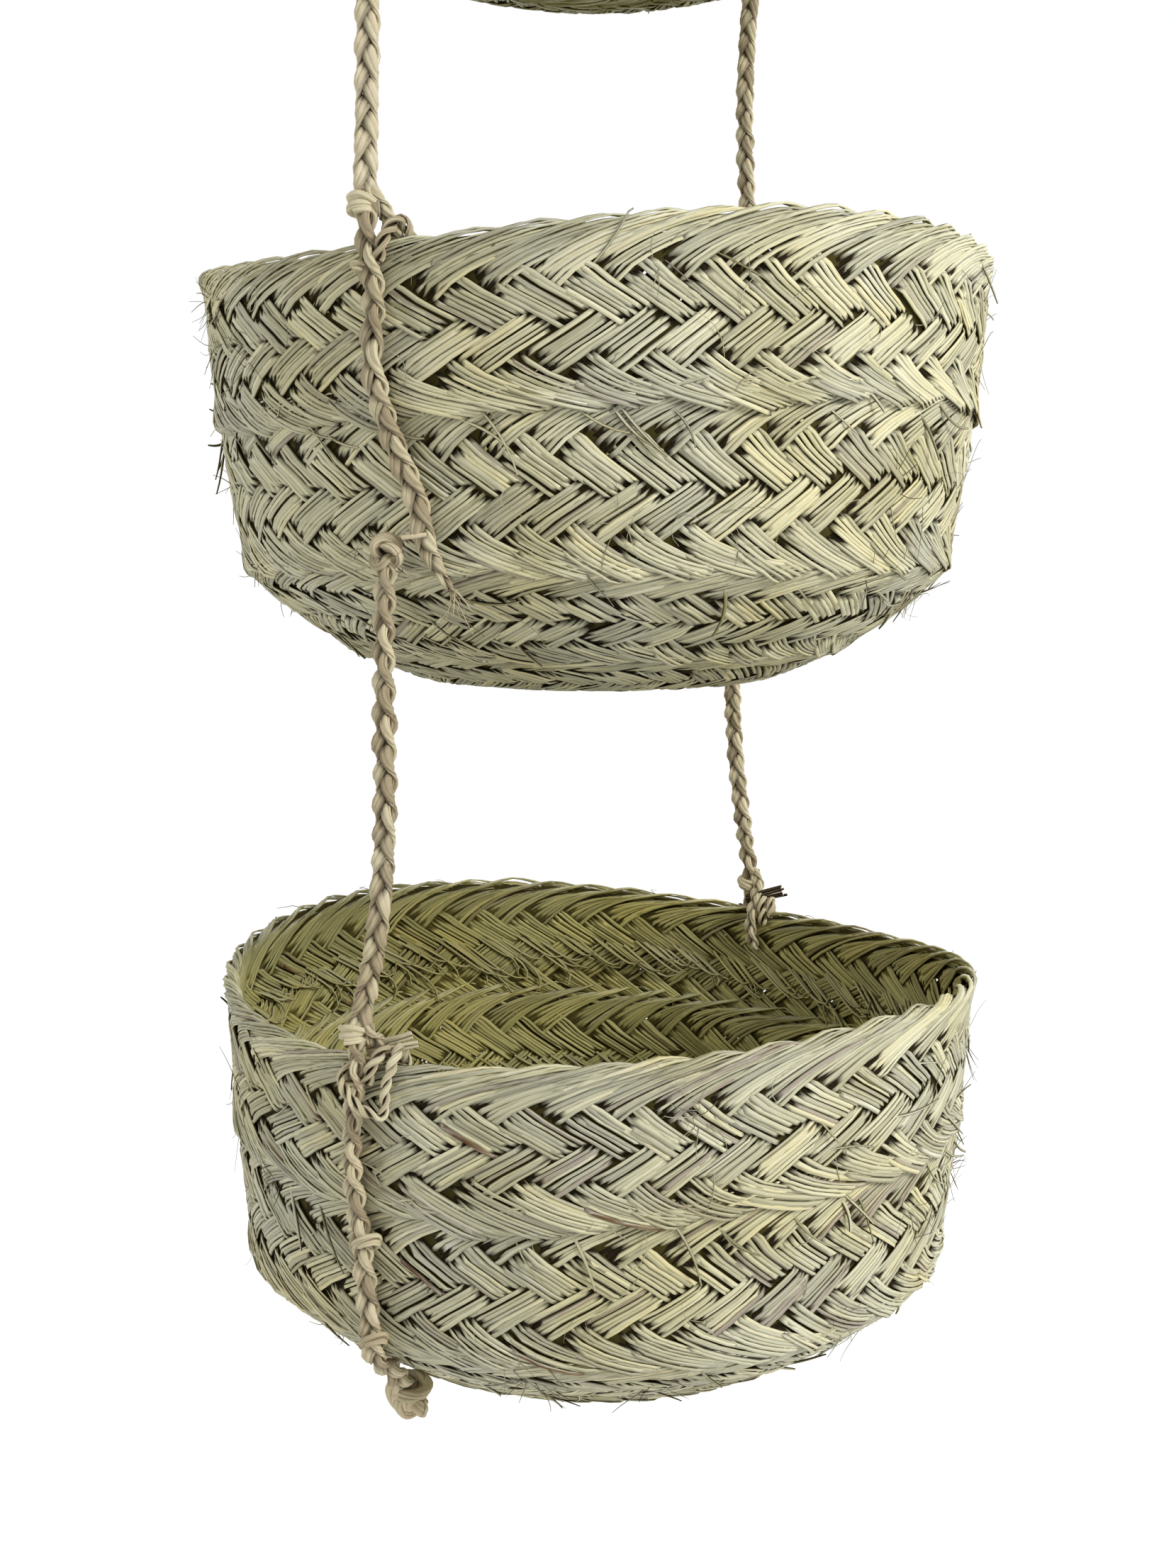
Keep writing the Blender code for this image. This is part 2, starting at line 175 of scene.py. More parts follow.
def makeLight():
    world = bpy.data.worlds.new("studio")
    scene.world = world
    world.use_nodes = True
    tree = world.node_tree
    path = addNode(tree, "LightPath")
    seen = path.outputs["Is Camera Ray"]
    for ray in ("Is Glossy Ray", "Is Transmission Ray"):
        seen = mathNode(tree, "MAXIMUM", seen, path.outputs[ray])
    level = addNode(tree, "MapRange", {"Value": seen, "To Min": lamps["worldLevel"], "To Max": 1})
    feed(tree, tree.nodes["Background"], {"Color": (1, 1, 1, 1), "Strength": level.outputs[0]})
    for name, spec in lamps["discs"].items():
        data = bpy.data.lights.new(name, "AREA")
        data.shape = "DISK"
        data.size, data.energy = spec["size"], spec["watts"]
        lamp = newObject(name, data)
        lamp.location = spec["place"]
        aim = Vector(lamps["aim"]) - Vector(spec["place"])
        lamp.rotation_euler = aim.to_track_quat("-Z", "Y").to_euler()
    scene.view_settings.view_transform = "Standard"


makeCamera()
makeFloor()
makeLight()
print("camera, floor and light placed")

# Materials. Strands carry an attribute called lay: x is metres along the strand, y its own number from 0
# to 1, z how far the surface stands out of the plait, from 0 to 1. Where z is low, at the strands' sides
# and between them, the colour is painted darker as shade. On a basket they also carry one called
# inward: 1 where the surface looks in towards the basket's axis; there the colour gets painted shade.

fibre = {
    "along": 28.0,
    "across": 3.2,
    "apart": 911.0,  # puts each strand's streaks in their own part of the noise
    "streak": {"Scale": 1.0, "Detail": 3.0, "Roughness": 0.6},
    "patch": {"Scale": 14.0, "Detail": 2.0},
    "hue": {"Scale": 21.0, "Detail": 1.0},
    "hueFrom": 0.38,
    "hueGain": 3.0,
    "streakFrom": 0.36,
    "streakRough": 0.25,
    "bumpHeight": 0.0006,
}


# Long streaks that follow each strand: a streak value, a blotch value and a height for bump.
def fibreGroup():
    group = bpy.data.node_groups.new("fibreStreaks", "ShaderNodeTree")
    for label, kind in (("Lay", "Vector"), ("Fineness", "Float"), ("Patches", "Float")):
        group.interface.new_socket(label, in_out="INPUT", socket_type="NodeSocket" + kind)
    for label in ("Streak", "Patch", "Height"):
        group.interface.new_socket(label, in_out="OUTPUT", socket_type="NodeSocketFloat")
    start = group.nodes.new("NodeGroupInput").outputs
    stop = group.nodes.new("NodeGroupOutput")
    along, own, out = addNode(group, "SeparateXYZ", {0: start["Lay"]}).outputs
    across = mathNode(group, "MULTIPLY", out, fibre["across"])
    own = mathNode(group, "MULTIPLY", own, fibre["apart"])
    fine = addNode(group, "CombineXYZ", {
        0: mathNode(group, "MULTIPLY", along, fibre["along"]),
        1: mathNode(group, "MULTIPLY", across, start["Fineness"]),
        2: own,
    })
    wide = addNode(group, "CombineXYZ", {0: mathNode(group, "MULTIPLY", along, start["Patches"]), 2: own})
    streak = addNode(group, "TexNoise", {"Vector": fine.outputs[0], **fibre["streak"]}).outputs[0]
    patch = addNode(group, "TexNoise", {"Vector": wide.outputs[0], **fibre["patch"]}).outputs[0]
    feed(group, stop, {"Streak": streak, "Patch": patch, "Height": streak})
    return group


streaks = fibreGroup()


# A slow change over the object between greener and yellower grass
def hueDrift(tree):
    place = addNode(tree, "TexCoord").outputs["Object"]
    noise = addNode(tree, "TexNoise", {"Vector": place, **fibre["hue"]}).outputs[0]
    return mathNode(tree, "MULTIPLY", mathNode(tree, "SUBTRACT", noise, fibre["hueFrom"]), fibre["hueGain"], True)


def strandMaterial(name, stops, look):
    material, tree, shader = newMaterial(name)
    lay = addNode(tree, "Attribute", attribute_name="lay").outputs["Vector"]
    fibres = addNode(tree, "Group", node_tree=streaks)
    feed(tree, fibres, {"Lay": lay, "Fineness": look["fineness"], "Patches": look["patches"]})
    streak, patch, height = fibres.outputs
    _, own, out = addNode(tree, "SeparateXYZ", {0: lay}).outputs
    blotch = mathNode(tree, "MULTIPLY", mathNode(tree, "SUBTRACT", patch, 0.5), look["wander"])
    colour = ramp(tree, mathNode(tree, "ADD", own, blotch, True), stops)
    # Pale streaks along the strands: partly the fibres' own pale grain, partly painted sheen.
    paleGrainAndSheen = mathNode(tree, "SUBTRACT", streak, fibre["streakFrom"])
    paleGrainAndSheen = mathNode(tree, "MULTIPLY", paleGrainAndSheen, look["streak"], True)
    colour = mixColour(tree, paleGrainAndSheen, colour, look["pale"])
    # Painted shade: where the surface lies deep, at the strands' sides and between them, the colour turns towards a
    # dark shade colour and the surface gets rougher.
    paintedShade = mathNode(tree, "SUBTRACT", look["shadeBelow"], out, True)
    paintedShade = mathNode(tree, "MULTIPLY", paintedShade, look["shadeGain"], True)
    shadeColour = look["shadeColour"]
    # Painted shade of the inside: surfaces that look in towards the axis are multiplied darker and yellower, and
    # their painted shade colour is a lighter olive.
    if "inner" in look:
        inward = addNode(tree, "Attribute", attribute_name="inward").outputs["Fac"]
        colour = mixColour(tree, inward, colour, look["inner"], "MULTIPLY")
        shadeColour = mixColour(tree, inward, shadeColour, look["innerDark"])
    colour = mixColour(tree, hueDrift(tree), colour, look["drift"], "MULTIPLY")
    rough = mathNode(tree, "MULTIPLY", streak, fibre["streakRough"])
    rough = mathNode(tree, "ADD", rough, look["rough"])
    bump = {"Strength": look["bump"], "Distance": fibre["bumpHeight"], "Height": height}
    feed(tree, shader, {
        "Base Color": mixColour(tree, paintedShade, colour, shadeColour),
        "Roughness": mathNode(tree, "ADD", rough, paintedShade, True),
        "Normal": addNode(tree, "Bump", bump).outputs[0],
        "Specular IOR Level": look["gloss"],
    })
    return material


grassStops = [
    (0.00, linear(104, 70, 42)),
    (0.05, linear(128, 106, 66)),
    (0.12, linear(134, 132, 92)),
    (0.35, linear(161, 158, 112)),
    (0.60, linear(190, 186, 140)),
    (0.80, linear(217, 213, 170)),
    (0.93, linear(218, 205, 136)),
    (1.00, linear(236, 231, 204)),
]
# The grass look's dark colour is painted shade, laid where the surface lies deep between and beside the strands.
grassLook = {
    # pale is the colour of pale streaks, partly the grass's own grain and partly painted sheen.
    "fineness": 1.0, "patches": 1.0, "wander": 0.36, "streak": 2.3, "pale": linear(255, 253, 240),
    "shadeBelow": 0.98, "shadeGain": 2.0, "shadeColour": linear(34, 26, 6), "rough": 0.34, "bump": 0.3, "gloss": 0.24,
    # inner darkens the inside of the bowls as painted shade, and the colour after it is the inside's painted shade
    # colour.
    "drift": (0.96, 0.92, 0.76), "inner": (0.66, 0.63, 0.35), "innerDark": linear(92, 84, 36),
}
cordStops = [(0.0, linear(128, 112, 72)), (0.5, linear(170, 160, 118)), (1.0, linear(206, 198, 156))]
palmStops = [
    (0.00, linear(134, 111, 76)),
    (0.20, linear(172, 154, 117)),
    (0.50, linear(209, 197, 158)),
    (0.75, linear(231, 221, 184)),
    (0.90, linear(220, 194, 153)),
    (1.00, linear(246, 239, 214)),
]
# For the palm rope too, the dark colour is painted shade, laid in the creases and deep inside the braids and knots.
palmLook = {
    # pale is the colour of pale streaks, partly the leaf's own grain and partly painted sheen.
    "fineness": 2.2, "patches": 1.4, "wander": 0.4, "streak": 1.4, "pale": linear(250, 242, 216),
    "shadeBelow": 0.68, "shadeGain": 2.6, "shadeColour": linear(58, 42, 25), "rough": 0.5, "bump": 0.5, "gloss": 0.3,
    "drift": (0.92, 0.90, 0.84),
}
grass = strandMaterial("plaitedGrass", grassStops, grassLook)
# The sewing cord gets the grass's painted shade, but weaker.
thread = strandMaterial("sewingCord", cordStops, {**grassLook, "shadeGain": 0.8})
palm = strandMaterial("palmRope", palmStops, palmLook)
print("materials made")

# Strands


def gauss(spread, *shape):
    return rng.normal(0, spread, shape)


# Slow random drift along a rope, points values of it.
def wander(points, spread, scale):
    marks = gauss(spread, max(3, int(points / scale) + 2))
    return np.interp(np.linspace(0, len(marks) - 1, points), np.arange(len(marks)), marks)


def unit(vectors):
    return vectors / np.linalg.norm(vectors, axis=-1, keepdims=True)


# Metres from the start at every point of one route or of many
def runAlong(paths):
    steps = np.linalg.norm(np.diff(paths, axis=-2), axis=-1)
    return np.concatenate([np.zeros_like(steps[..., :1]), np.cumsum(steps, axis=-1)], axis=-1)


def makeProfile(name, corners):
    curve = bpy.data.curves.new(name, "CURVE")
    spline = curve.splines.new("POLY")
    spline.points.add(len(corners) - 1)
    spline.use_cyclic_u = True
    for point, corner in zip(spline.points, corners[::-1]):  # clockwise, so that the faces point outwards
        point.co = (*corner, 0, 1)
    return newObject(name, curve)


def meshOf(source):
    return bpy.data.meshes.new_from_object(source.evaluated_get(bpy.context.evaluated_depsgraph_get()))


def readVertices(mesh, key):
    values = np.empty(len(mesh.vertices) * 3, np.float32)
    mesh.vertices.foreach_get(key, values)
    return values.reshape(-1, 3)


def writePoints(mesh, name, values):
    kind, key = ("FLOAT_VECTOR", "vector") if values.ndim == 2 else ("FLOAT", "value")
    attribute = mesh.attributes.new(name, kind, "POINT")
    attribute.data.foreach_set(key, values.astype(np.float32).ravel())


# The tilt at every point that turns the profile's thin side to the wanted direction
def tiltsTowards(source, profile, paths, faces):
    shape = np.array([point.co[:2] for point in profile.data.splines[0].points])
    strands, points = paths.shape[:2]
    untilted = meshOf(source)
    co = readVertices(untilted, "co")
    bpy.data.meshes.remove(untilted)
    rings = co[len(co) - strands * points * len(shape):].reshape(strands, points, len(shape), 3)
    axes = unit(np.einsum("ar,spri->spai", np.linalg.pinv(shape), rings - paths[:, :, None, :]))
    wide, thin = (np.einsum("spi,spi->sp", axes[:, :, a], faces) for a in (0, 1))
    return np.unwrap(np.arctan2(wide, thin), axis=1)


# Many strands as one curve, made a mesh. paths is (strands, points, 3), widths (strands, points), numbers
# (strands) and outward like paths. In a rope outward is None: centres and reach are its middle and radius.
def strandMesh(
    name, paths, widths, numbers, outward, finish, sides=0, profile=None, tilts=None, centres=None, reach=None,
    stripes=0.0, bare=None, faces=None, thickness=1.0,
):
    strands, points = paths.shape[:2]
    if outward is not None:
        outward = np.broadcast_to(outward, paths.shape)
    curve = bpy.data.curves.new(name, "CURVE")
    curve.dimensions = "3D"
    curve.use_fill_caps = True
    if profile is None:
        curve.bevel_depth, curve.bevel_resolution = 1.0, sides
        ring = 4 + 2 * sides
    else:
        curve.bevel_mode, curve.bevel_object = "OBJECT", profile
        ring = len(profile.data.splines[0].points)
    places = np.ones((strands, points, 4), np.float32)
    places[:, :, :3] = paths
    for place, width in zip(places, widths):
        spline = curve.splines.new("POLY")
        spline.points.add(points - 1)
        spline.points.foreach_set("co", place.ravel())
        spline.points.foreach_set("radius", np.asarray(width, np.float32))
    source = newObject(name + "Source", curve)
    if faces is not None:
        tilts = tiltsTowards(source, profile, paths, faces) + tilts
    if tilts is not None:
        for spline, tilt in zip(curve.splines, tilts):
            spline.points.foreach_set("tilt", np.asarray(tilt, np.float32))
    mesh = meshOf(source)
    bpy.data.objects.remove(source)
    bpy.data.curves.remove(curve)
    mesh.name = name
    co = readVertices(mesh, "co")
    caps = len(co) - strands * points * ring
    rings = co[caps:].reshape(strands, points, ring, 3)
    if outward is None:  # how far out from a rope's middle
        middle, radius = np.broadcast_to(centres, paths.shape), np.broadcast_to(reach, widths.shape)
        rise = np.linalg.norm(rings - middle[:, :, None, :], axis=3) / radius[:, :, None]
    else:
        rise = np.einsum("spri,spi->spr", rings - paths[:, :, None, :], outward)
        rise = 0.5 + 0.5 * rise / np.maximum(widths * thickness, 1e-6)[:, :, None]
    # Strands seen from both sides: neither face gets the painted shade.
    if bare is not None:  # seen from both sides
        rise = rise + bare[:, :, None] * (0.5 + np.abs(rise - 0.5) - rise)
    lay = np.empty((len(co), 3), np.float32)
    body = lay[caps:].reshape(strands, points, ring, 3)
    body[..., 0] = runAlong(paths)[:, :, None]
    body[..., 1] = np.asarray(numbers)[:, None, None]
    if stripes:
        body[..., 1] = np.clip(body[..., 1] + gauss(stripes, strands, 1, ring), 0, 1)
    body[..., 2] = rise
    if caps:
        ends = lay[:caps].reshape(strands, 2, ring, 3)
        ends[:, 0], ends[:, 1] = body[::-1, -1], body[::-1, 0]
    writePoints(mesh, "lay", lay)
    # inward is the mask for the painted shade on the inside of the bowls.
    if outward is not None:
        toAxis = -unit(co[:, :2])
        looksIn = (readVertices(mesh, "normal")[:, :2] * toAxis).sum(1)
        writePoints(mesh, "inward", np.clip(2.2 * looksIn, 0, 1))
    return finished(name, mesh, finish)


def finished(name, mesh, finish):
    mesh.shade_smooth()
    mesh.materials.clear()
    mesh.materials.append(finish)
    return newObject(name, mesh)


def joinPieces(made, name):
    if len(made) > 1:
        with bpy.context.temp_override(active_object=made[0], selected_editable_objects=made):
            bpy.ops.object.join()
    made[0].name = name
    made[0].data.name = name
    return made[0]


def dress(obj, body, slotName, *nodes):
    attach(obj, body)
    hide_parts(*nodes)


# The baskets' surface: rows down the outside from the rim, by metres of arc

bowl = {
    "rimRadius": 0.150,
    "wallHeight": 0.112,
    "baseDrop": 0.044,
    "flatRadius": 0.066,
    "saddleRise": 0.0065,
    "saddlePhase": math.radians(-16),
    "rounding": 1.575,
    "midDepth": 0.0020,
    "brim": 0.02,  # how far the surface runs on above the rim
    "wallRows": 80,
    "domeRows": 90,
    "flatRows": 40,
}
tiers = {
    "top": {"rim": -0.2861, "waistInset": 0.0038, "seamInset": 0.0110, "oval": 0.0},
    "middle": {"rim": -0.5561, "waistInset": 0.0042, "seamInset": 0.0135, "oval": 0.0},
    "lower": {"rim": -0.8261, "waistInset": 0.0028, "seamInset": 0.0085, "oval": 0.0035},
}


# Radius, height and outward direction of the mid-plait surface against the arc down from the rim.
def surfaceTable(tier):
    s = np.linspace(0, 1, bowl["wallRows"])
    inset = 4 * s * (1 - s) * tier["waistInset"] + s * (2 * s - 1) * tier["seamInset"]
    wall = np.stack([bowl["rimRadius"] - inset, -bowl["wallHeight"] * s], 1)
    a = np.linspace(0, math.pi / 2, bowl["domeRows"])[1:]
    seam = bowl["rimRadius"] - tier["seamInset"]
    radius = bowl["flatRadius"] + (seam - bowl["flatRadius"]) * np.clip(np.cos(a), 0, 1) ** bowl["rounding"]
    dome = np.stack([radius, -bowl["wallHeight"] - bowl["baseDrop"] * np.sin(a) ** bowl["rounding"]], 1)
    radius = np.linspace(bowl["flatRadius"], 0, bowl["flatRows"])[1:]
    flat = np.stack([radius, np.full_like(radius, dome[-1, 1])], 1)
    line = np.concatenate([wall, dome, flat])
    step = unit(np.gradient(line, axis=0))
    out = np.stack([-step[:, 1], step[:, 0]], 1)
    line = line - out * bowl["midDepth"]
    arc = np.concatenate([[-bowl["brim"]], runAlong(line)])
    line, out = np.vstack([line[0] - step[0] * bowl["brim"], line]), np.vstack([out[0], out])
    seamRow, flatRow = bowl["wallRows"], bowl["wallRows"] + bowl["domeRows"] - 1
    tier["table"] = (arc, *line.T, *out.T)
    tier["wallArcs"], tier["baseArcs"] = arc[1:seamRow + 1], arc[seamRow:flatRow + 1]
    tier["seamArc"], tier["endArc"] = float(arc[seamRow]), float(arc[-1])


for tierName, tier in tiers.items():
    tier["name"] = tierName
    surfaceTable(tier)
    print(tierName, "bowl: arc to the seam and the middle", round(tier["seamArc"], 4), round(tier["endArc"], 4))


# Presses the round bowl into the saddle and oval of its rim.
def warp(tier, radius, phi, height):
    fade = np.clip(1 + height / bowl["wallHeight"], 0, 1)
    wave = fade * np.cos(2 * (phi - bowl["saddlePhase"]))
    radius = radius + tier["oval"] * wave
    height = height + bowl["saddleRise"] * wave + tier["rim"]
    return np.stack([radius * np.cos(phi), radius * np.sin(phi), height], -1)


# Points on the bowl, lifted outwards and moved up along the surface by climb.
def onBowl(tier, arc, phi, lift=0.0, climb=0.0):
    table = tier["table"]
    radius, height, outR, outZ = (np.interp(arc, table[0], column) for column in table[1:])
    radius = radius + outR * lift - outZ * climb
    height = height + outZ * lift + outR * climb
    return warp(tier, radius, phi, height)


# The direction out of the bowl's surface, turned by the angle turn towards its rim
def outwardOnBowl(tier, arc, phi, turn=0.0):
    table = tier["table"]
    outR, outZ = np.interp(arc, table[0], table[3]), np.interp(arc, table[0], table[4])
    outR, outZ = outR * np.cos(turn) - outZ * np.sin(turn), outZ * np.cos(turn) + outR * np.sin(turn)
    return np.stack([outR * np.cos(phi), outR * np.sin(phi), outZ * np.ones_like(phi)], -1)


def radiusAt(tier, arc):
    return np.interp(arc, tier["table"][0], tier["table"][1])


# A smooth random field on the bowl, the same where a strand meets its neighbour.
def softField(waves):
    turns = rng.integers(2, 9, waves)
    steps = rng.uniform(-90, 90, waves)
    phases = rng.uniform(0, 2 * math.pi, waves)

    def field(arc, phi):
        total = 0
        for turn, step, phase in zip(turns, steps, phases):
            total = total + np.sin(turn * phi + step * arc + phase)
        return total / math.sqrt(waves)

    return field


# One plait course: every strand climbs to the upper edge outside, turns over it and comes down again

plait = {
    "rows": 3.5,
    "edgeRow": 0.75,
    "edgeShape": ((0.0, 0.24), (0.3, 1.15), (0.6, 1.26)),
    "turnSteps": (0, 0.06, 0.12, 0.2, 0.3, 0.42),  # points of a strand near an edge, in rows from it
    "innerFrom": 0.6,
    "innerLast": 0.55,
    "step": 0.2,
    "tuckFrom": 0.6,  # where the crossings stop towards an edge, and over how many rows
    "tuckRows": 0.3,
    "fold": 0.16,
    "foldClimb": 0.3,
    "amplitude": 0.00088,
    "dome": 0.00046,
    "shingle": 0.0023,
    "fan": 0.0050,
    "topSweep": (1.65, 1.35),  # outside and inside, in bundle widths, a whole number in all
    "lowSweep": (1.2, 0.8),
    "shear": 0.05,
    "fill": 0.468,  # half a strand's width as a share of the room it has
    "thin": 0.00066,
    "thick": 0.00140,
    "flatness": 0.50,
    "turnOver": 0.42,  # rows over which a strand turns its face at the upper edge
    "middleGap": 0.0015,
    "middleStep": 0.0002,
    "stripes": 0.07,
    "shadeSheetInset": (0.0016, 0.0030),
}
uneven = {  # random spreads: rows, bundle widths, metres, radians or tone
    "sway": 0.12, "swayWaves": 5, "lag": 0.24, "slip": 0.05, "bundleTug": 0.04, "strandTug": 0.3,
    "edgeSway": 0.0009, "strandDrop": 0.0002, "bundleDrop": 0.0014, "pointLift": 0.00006, "strandLift": 0.00012,
    "width": 0.12, "strandRoll": 0.22, "pointRoll": 0.05, "bundleTone": 0.14, "strandTone": 0.19,
}
tones = {"brownShare": 0.012, "brown": (0, 0.06), "yellowFrom": 0.975, "yellow": 0.93, "plain": (0.1, 0.88)}
edgeHalf = plait["flatness"]
stripProfile = makeProfile("stripProfile", [(-1, -edgeHalf), (1, -edgeHalf), (1, edgeHalf), (-1, edgeHalf)])


def softSquare(x):
    return np.clip(3.4 * np.sin(np.pi * x / 2), -1, 1)


def edgeSweep(x):
    return 0.3 * x + 0.7 * x * x


# Share of the course's height at a row: level at both edges, steep in the outer rows.
def rowShare(spec, down):
    topRow, upRow, lowerRow, lowRow = spec["rowArcs"]
    rows, edge = plait["rows"], plait["edgeRow"]
    marks = [place for place, share in plait["edgeShape"]]
    slopes = [share * topRow / edge for place, share in plait["edgeShape"]]
    marks += [1.0, rows - 1.0] + [rows - place for place, share in plait["edgeShape"][::-1]]
    slopes += [upRow, lowerRow] + [share * lowRow / edge for place, share in plait["edgeShape"][::-1]]
    fine = np.linspace(0, rows, 281)
    slope = np.interp(fine, marks, slopes)
    total = np.concatenate([[0], np.cumsum(slope[1:] + slope[:-1])])
    return np.interp(down, fine, total / total[-1])


# A sheet in the plait's heart, painted dark as shade, which also stops the light between the strands but for a few
# holes
heart = {
    "turns": 120,
    "smallTurns": 64,
    "smallBelow": 0.09,
    "rows": 15,
    "holes": 0.035,
    "lay": (0.4, 0, -1),
    "inward": 0.45,
}


def makeShadeSheet(name, tier, top, low):
    turns, rows = heart["turns" if radiusAt(tier, low) > heart["smallBelow"] else "smallTurns"], heart["rows"]
    phi = np.linspace(0, 2 * math.pi, turns, endpoint=False)[None, :]
    arcs = np.linspace(top, low, rows)[:, None]
    grid = onBowl(tier, arcs + 0 * phi, phi + 0 * arcs)
    faces = [
        (r * turns + c, (r + 1) * turns + c, (r + 1) * turns + (c + 1) % turns, r * turns + (c + 1) % turns)
        for r in range(rows - 1) for c in range(turns) if rng.random() > heart["holes"]
    ]
    mesh = bpy.data.meshes.new(name)
    mesh.from_pydata(grid.reshape(-1, 3).tolist(), [], faces)
    # Its lay puts the whole sheet in painted shade; its inward share mixes the outside's and the inside's painted
    # shade colours.
    writePoints(mesh, "lay", np.tile(heart["lay"], (len(mesh.vertices), 1)))
    writePoints(mesh, "inward", np.full(len(mesh.vertices), heart["inward"]))
    return finished(name, mesh, grass)


# spec: top and low arcs, bundles round, plies in a bundle, row heights, and how the edges overlap.
def makeCourse(name, tier, spec):
    bundles, plies = spec["bundles"], spec["plies"]
    rows, edge, fold = plait["rows"], plait["edgeRow"], plait["fold"]

    def byBundle(key):
        return gauss(uneven[key], bundles, 1, 1)

    def byStrand(key):
        return gauss(uneven[key], bundles, plies, 1)

    # Where the strand runs: tau counts rows from its start inside the lower edge, over the upper edge at 0
    near = np.array(plait["turnSteps"])
    inner = np.arange(rows - plait["innerFrom"], plait["innerFrom"], -spec.get("step", plait["step"]))
    half = np.concatenate([rows - near, inner, [plait["innerLast"]], near[:0:-1]])
    tau = np.concatenate([-half, [0.0], half[::-1]])
    shape = (bundles, plies, len(tau))
    down = np.abs(tau)
    upper = np.clip((edge - down) / edge, 0, 1)
    lower = np.clip((down - (rows - edge)) / edge, 0, 1)
    arc = spec["top"] + rowShare(spec, down) * (spec["low"] - spec["top"])
    own = np.arange(bundles)[:, None, None]
    u = ((np.arange(plies) + 0.5) / plies - 0.5)[None, :, None]
    topOut, topIn = plait["topSweep"]
    lowOut, lowIn = plait["lowSweep"]
    lag = byBundle("lag")
    up = own + u - down + topOut * edgeSweep(upper) - lowIn * edgeSweep(lower)
    dn = own + u + topOut + topIn + down - topIn * edgeSweep(upper) + (lowOut + lag) * edgeSweep(lower)
    place = np.where(tau < 0, up, dn) - plait["shear"] * down

    # Over and under: two rows over two, and at the edges the outer half lies over the inner
    slip = byBundle("slip")
    over = softSquare(np.mod(u - 2 * down + 1.5 + slip, 4))
    under = softSquare(np.mod(u + 2 * down - 1.5 + slip, 4))
    nearTop = np.clip((plait["tuckFrom"] - down) / plait["tuckRows"], 0, 1)
    nearLow = np.clip((down - rows + plait["tuckFrom"]) / plait["tuckRows"], 0, 1)
    over = (over * (1 - nearTop) + nearTop) * (1 - nearLow) - nearLow
    under = (under * (1 - nearTop) - nearTop) * (1 - nearLow) + nearLow
    side = np.where(tau < 0, over, under)
    lift = plait["amplitude"] * side
    lift = lift + plait["dome"] * np.sin(np.pi * np.mod(u + 2 * tau + 1.5, 2) / 2) * np.sign(side)
    pile = plait["shingle"] * (0.5 - u) * np.maximum(upper ** 1.4, lower ** 1.4)
    lift = lift + pile * np.sign(side)
    lift = lift + spec.get("topBias", 0) * upper + spec.get("lowBias", 0) * lower
    crest = np.clip(1 - down / fold, 0, 1)
    trough = np.clip(1 - (rows - down) / fold, 0, 1)
    climb = plait["foldClimb"] * np.abs(lift) * (np.sin(crest * np.pi / 2) - np.sin(trough * np.pi / 2))
    lift = lift * np.cos(np.maximum(crest, trough) * np.pi / 2)

    # Hand work: bundles wander sideways, and the edges rise and fall a little
    pitch = 2 * math.pi / bundles
    phi = place * pitch
    swayA, swayB = softField(uneven["swayWaves"]), softField(uneven["swayWaves"])
    tug = byBundle("bundleTug") + gauss(uneven["strandTug"] / plies / 2, bundles, plies, 1)
    phi = phi + pitch * (uneven["sway"] * swayA(arc, phi) + tug * np.sin(np.pi * (down / rows)) ** 0.5)
    drop = uneven["edgeSway"] * swayB(arc, phi) * (1 - 0.75 * upper) + byStrand("strandDrop")
    drop = drop + byBundle("bundleDrop") * lower ** 2
    drop = drop + plait["fan"] * spec.get("fan", 1) * (0.5 + u) * (upper ** 1.5 - lower ** 1.5)
    last = tier["endArc"] - plait["middleGap"] - plait["middleStep"] * u
    arcs = np.minimum(np.broadcast_to(arc, shape) + drop, last)
    lift = lift + gauss(uneven["pointLift"], *shape) + byStrand("strandLift")

    # Each strand's width fills its room, and its face turns over with it at the upper edge
    local = radiusAt(tier, arcs) * pitch
    along = np.gradient(place, tau, axis=2) * local
    rise = np.broadcast_to(np.gradient(arc, tau), shape)
    room = local / plies * np.abs(rise) / np.hypot(along, rise)
    width = np.clip(plait["fill"] * room, plait["thin"], plait["thick"]) * spec.get("thick", 1)
    width = np.minimum(width, 0.5 * local / plies) * np.exp(byStrand("width"))
    face = math.pi / 2 * (1 + np.sin(np.clip(tau / plait["turnOver"], -1, 1) * math.pi / 2))
    rolls = byStrand("strandRoll") + gauss(uneven["pointRoll"], *shape)
    tone = 0.5 + gauss(uneven["bundleTone"], bundles, 1) + gauss(uneven["strandTone"], bundles, plies)
    odd = rng.random((bundles, plies))
    brown = rng.uniform(*tones["brown"], tone.shape)
    tone = np.where(odd > tones["yellowFrom"], tones["yellow"], np.clip(tone, *tones["plain"]))
    tone = np.where(odd < tones["brownShare"], brown, tone)

    def listed(values):
        return values.reshape(bundles * plies, *values.shape[2:])

    out = outwardOnBowl(tier, arcs, phi) * np.where(lift < 0, -1, 1)[..., None]
    plaited = strandMesh(
        name, listed(onBowl(tier, arcs, phi, lift, climb)), listed(width), tone.ravel(), listed(out), grass,
        bare=np.clip(2.2 * upper - 0.7, 0, 1)[None, :], profile=stripProfile, tilts=listed(rolls),
        faces=listed(outwardOnBowl(tier, arcs, phi, face)), stripes=plait["stripes"], thickness=plait["flatness"],
    )
    # The dark sheet of painted shade in the course's middle, a little in from its edges.
    topInset, lowInset = plait["shadeSheetInset"]
    shadeSheet = makeShadeSheet(name + "ShadeSheet", tier, spec["top"] + topInset, spec["low"] - lowInset)
    return joinPieces([plaited, shadeSheet], name)


